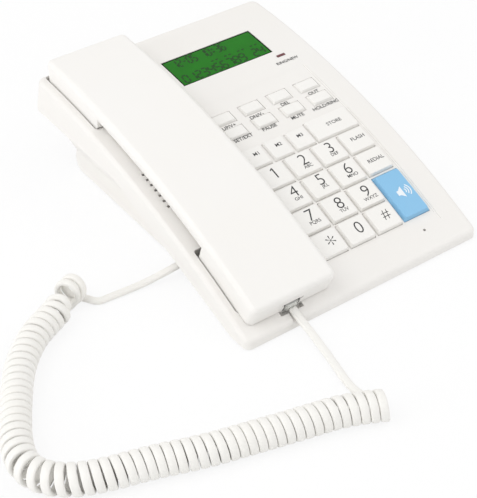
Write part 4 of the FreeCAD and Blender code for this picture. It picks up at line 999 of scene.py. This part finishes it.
class PHONE_OT_keys(bpy.types.Operator):
    """Keys with softly rounded caps, wide flat tops and flared sides"""
    bl_idname = "phone.keys"
    bl_label = "Keys"

    def execute(self, context):
        for name, left, front, width, depth in all_keys():
            self.make_key(name, left, front, width, depth)
        return {"FINISHED"}

    def make_key(self, name, left, front, width, depth):
        """Cap, shank and flange as one skin of rounded rectangles.

        From below: the flange under the shell, the shank up to the foot in the shell's opening, the side that leans
        in to the top, nearly a quarter circle of EDGE_ROUND and the flat top. The top stands off the middle, because
        its left and front sides slope more than the other two.
        """
        near, far = OTHER_GROWTH.get((width, depth), TOP_GROWTH)
        s = front + depth / 2
        rise = deck_rise(s)
        grown = near + far
        off = (far - near) / 2
        half_reach = depth / 2 + KEY_FLARE + KEY_FLANGE
        fall = half_reach ** 2 / (2 * BODY_RADIUS) + math.radians(DECK_TILT) * half_reach
        shank_foot = rise - WALL - fall - SHELL_GAP
        foot = np.array((width, depth)) + 2 * KEY_FLARE
        flange = foot + 2 * KEY_FLANGE
        rings = [(*flange, FOOT_CORNER, 0.0, shank_foot - FLANGE_THICKNESS), (*flange, FOOT_CORNER, 0.0, shank_foot),
                 (*foot, FOOT_CORNER, 0.0, shank_foot), (*foot, FOOT_CORNER, 0.0, rise - PANEL_DEPTH - PANEL_GAP)]
        for t in np.linspace(math.pi / 2 - SIDE_LEAN, 0, EDGE_RINGS):
            inset = 2 * EDGE_ROUND * (1 - math.sin(t))
            rings.append((width + grown - inset, depth + grown - inset, TOP_CORNER - inset / 2, off,
                          KEY_TOP_HEIGHT - EDGE_ROUND * (1 - math.cos(t))))
        skin = ring_surface(rings)
        look = "speaker_key" if name == "key_speaker" else "keys"
        points = tangent_plane(skin.reshape(-1, 3), s, left + width / 2)
        piece = add_piece("cap_" + name[4:], points, capped(len(rings), skin.shape[1]), finish(look))
        sharpen(piece)
        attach(piece, name)
        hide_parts(name)


def sharpen(piece):
    """Marks the edges that bend more than the angle for new pieces as sharp."""
    piece.data.set_sharp_from_angle(angle=math.radians(PIECE_SHARP_ANGLE))


class PHONE_OT_legends(bpy.types.Operator):
    """Printed digits, letters, words, captions and the loudspeaker symbol"""
    bl_idname = "phone.legends"
    bl_label = "Legends"

    def execute(self, context):
        ink = finish("ink")
        for s, row in zip(NUMBER_ROWS, NUMBER_LEGENDS):
            for left, (name, digit, letters, place) in zip(NUMBER_COLUMNS, row):
                middle = np.array((left + NUMBER_SIZE[0] / 2, s + NUMBER_SIZE[1] / 2))
                size = {"*": STAR_SIZE, "#": HASH_SIZE}.get(digit, DIGIT_SIZE)
                parts = [printed_text(digit, size, place, -DIGIT_THINNING)]
                if digit == "1":
                    parts.append(raised_outline(np.add(ONE_FLAG, place)))
                if letters:
                    parts.append(printed_text(letters, LETTERS_SIZE, np.add(place, LETTERS_OFFSET)))
                print_on_key("legend_" + name[4:], name, parts, middle, ink)
        for name, left, front, width, depth, word, place in WORD_KEYS:
            middle = (left + width / 2, front + depth / 2)
            print_on_key("legend_" + name[4:], name, [printed_text(word, WORD_SIZE, place)], middle, ink)
        name, left, front, width, depth = SPEAKER_KEY
        middle = (left + width / 2, front + depth / 2)
        print_on_key("symbol_speaker", name, sound_symbol(SYMBOL_PLACE), middle, finish("white_ink"))
        words = [printed_text(word, WORD_SIZE, (x, s)) for word, x, s in CAPTIONS]
        print_on_deck("key_captions", words, DECK_PRINT_LIFT - PANEL_DEPTH, ink)
        word, x, s = LAMP_CAPTION
        print_on_deck("lamp_caption", [printed_text(word, LAMP_WORD_SIZE, (x, s))], DECK_PRINT_LIFT, ink)
        return {"FINISHED"}


class PHONE_OT_display(bpy.types.Operator):
    """Green display window with a border of painted shade, and the segment characters on it"""
    bl_idname = "phone.display"
    bl_label = "Display"

    def execute(self, context):
        x1, x2, s1, s2 = (edge + gap for edge, gap in zip(WINDOW, (WINDOW_GAP, -WINDOW_GAP) * 2))
        self.make_pane(x1, x2, s1, s2)
        parts = []
        for row in SEGMENT_ROWS:
            parts += segment_parts(*row)
        print_on_deck("display_characters", parts, WINDOW_FACE + PRINT_LIFT, finish("glyphs"))
        return {"FINISHED"}

    def make_pane(self, x1, x2, s1, s2):
        """Curved pane: its section is the deck's arc at two heights, carried along x, with (u, v) from (x, s)."""
        x = np.linspace(x1, x2, PANE_LINES)
        s = np.linspace(s1, s2, PANE_STEPS)
        loop_s = np.concatenate((s, s[::-1]))
        loop_h = np.repeat((WINDOW_BACK, WINDOW_FACE), PANE_STEPS)
        points = deck(loop_s[None, :], loop_h[None, :], x[:, None])
        uv = np.stack(np.broadcast_arrays(((x - x1) / (x2 - x1))[:, None], ((loop_s - s1) / (s2 - s1))[None, :]), -1)
        pane = add_piece("display_pane", points, capped(len(x), len(loop_s)), finish("window"), uv=uv)
        sharpen(pane)
        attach(pane, "base")
        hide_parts("display_window")


class PHONE_PT_panel(bpy.types.Panel):
    """Lists the phone's pieces and settings"""
    bl_label = "Corded landline phone"
    bl_idname = "PHONE_PT_panel"
    bl_space_type = "VIEW_3D"
    bl_region_type = "UI"
    bl_category = "Phone"

    def draw(self, context):
        layout = self.layout
        for kind in OPERATORS:
            layout.operator(kind.bl_idname)
        for group in (context.scene.phone_colours, context.scene.phone_stage):
            for name in group.__annotations__:
                layout.prop(group, name)


OPERATORS = (PHONE_OT_stage, PHONE_OT_cord, PHONE_OT_shells, PHONE_OT_keys, PHONE_OT_legends, PHONE_OT_display)
CLASSES = (PhoneColours, PhoneStage, *OPERATORS, PHONE_PT_panel)


def register():
    for kind in CLASSES:
        bpy.utils.register_class(kind)
    bpy.types.Scene.phone_colours = PointerProperty(type=PhoneColours)
    bpy.types.Scene.phone_stage = PointerProperty(type=PhoneStage)


def unregister():
    del bpy.types.Scene.phone_stage
    del bpy.types.Scene.phone_colours
    for kind in reversed(CLASSES):
        bpy.utils.unregister_class(kind)


def main():
    register()
    bpy.ops.phone.stage()
    bpy.ops.phone.cord()
    bpy.ops.phone.shells()
    bpy.ops.phone.keys()
    bpy.ops.phone.legends()
    bpy.ops.phone.display()


if __name__ == "__main__":
    main()
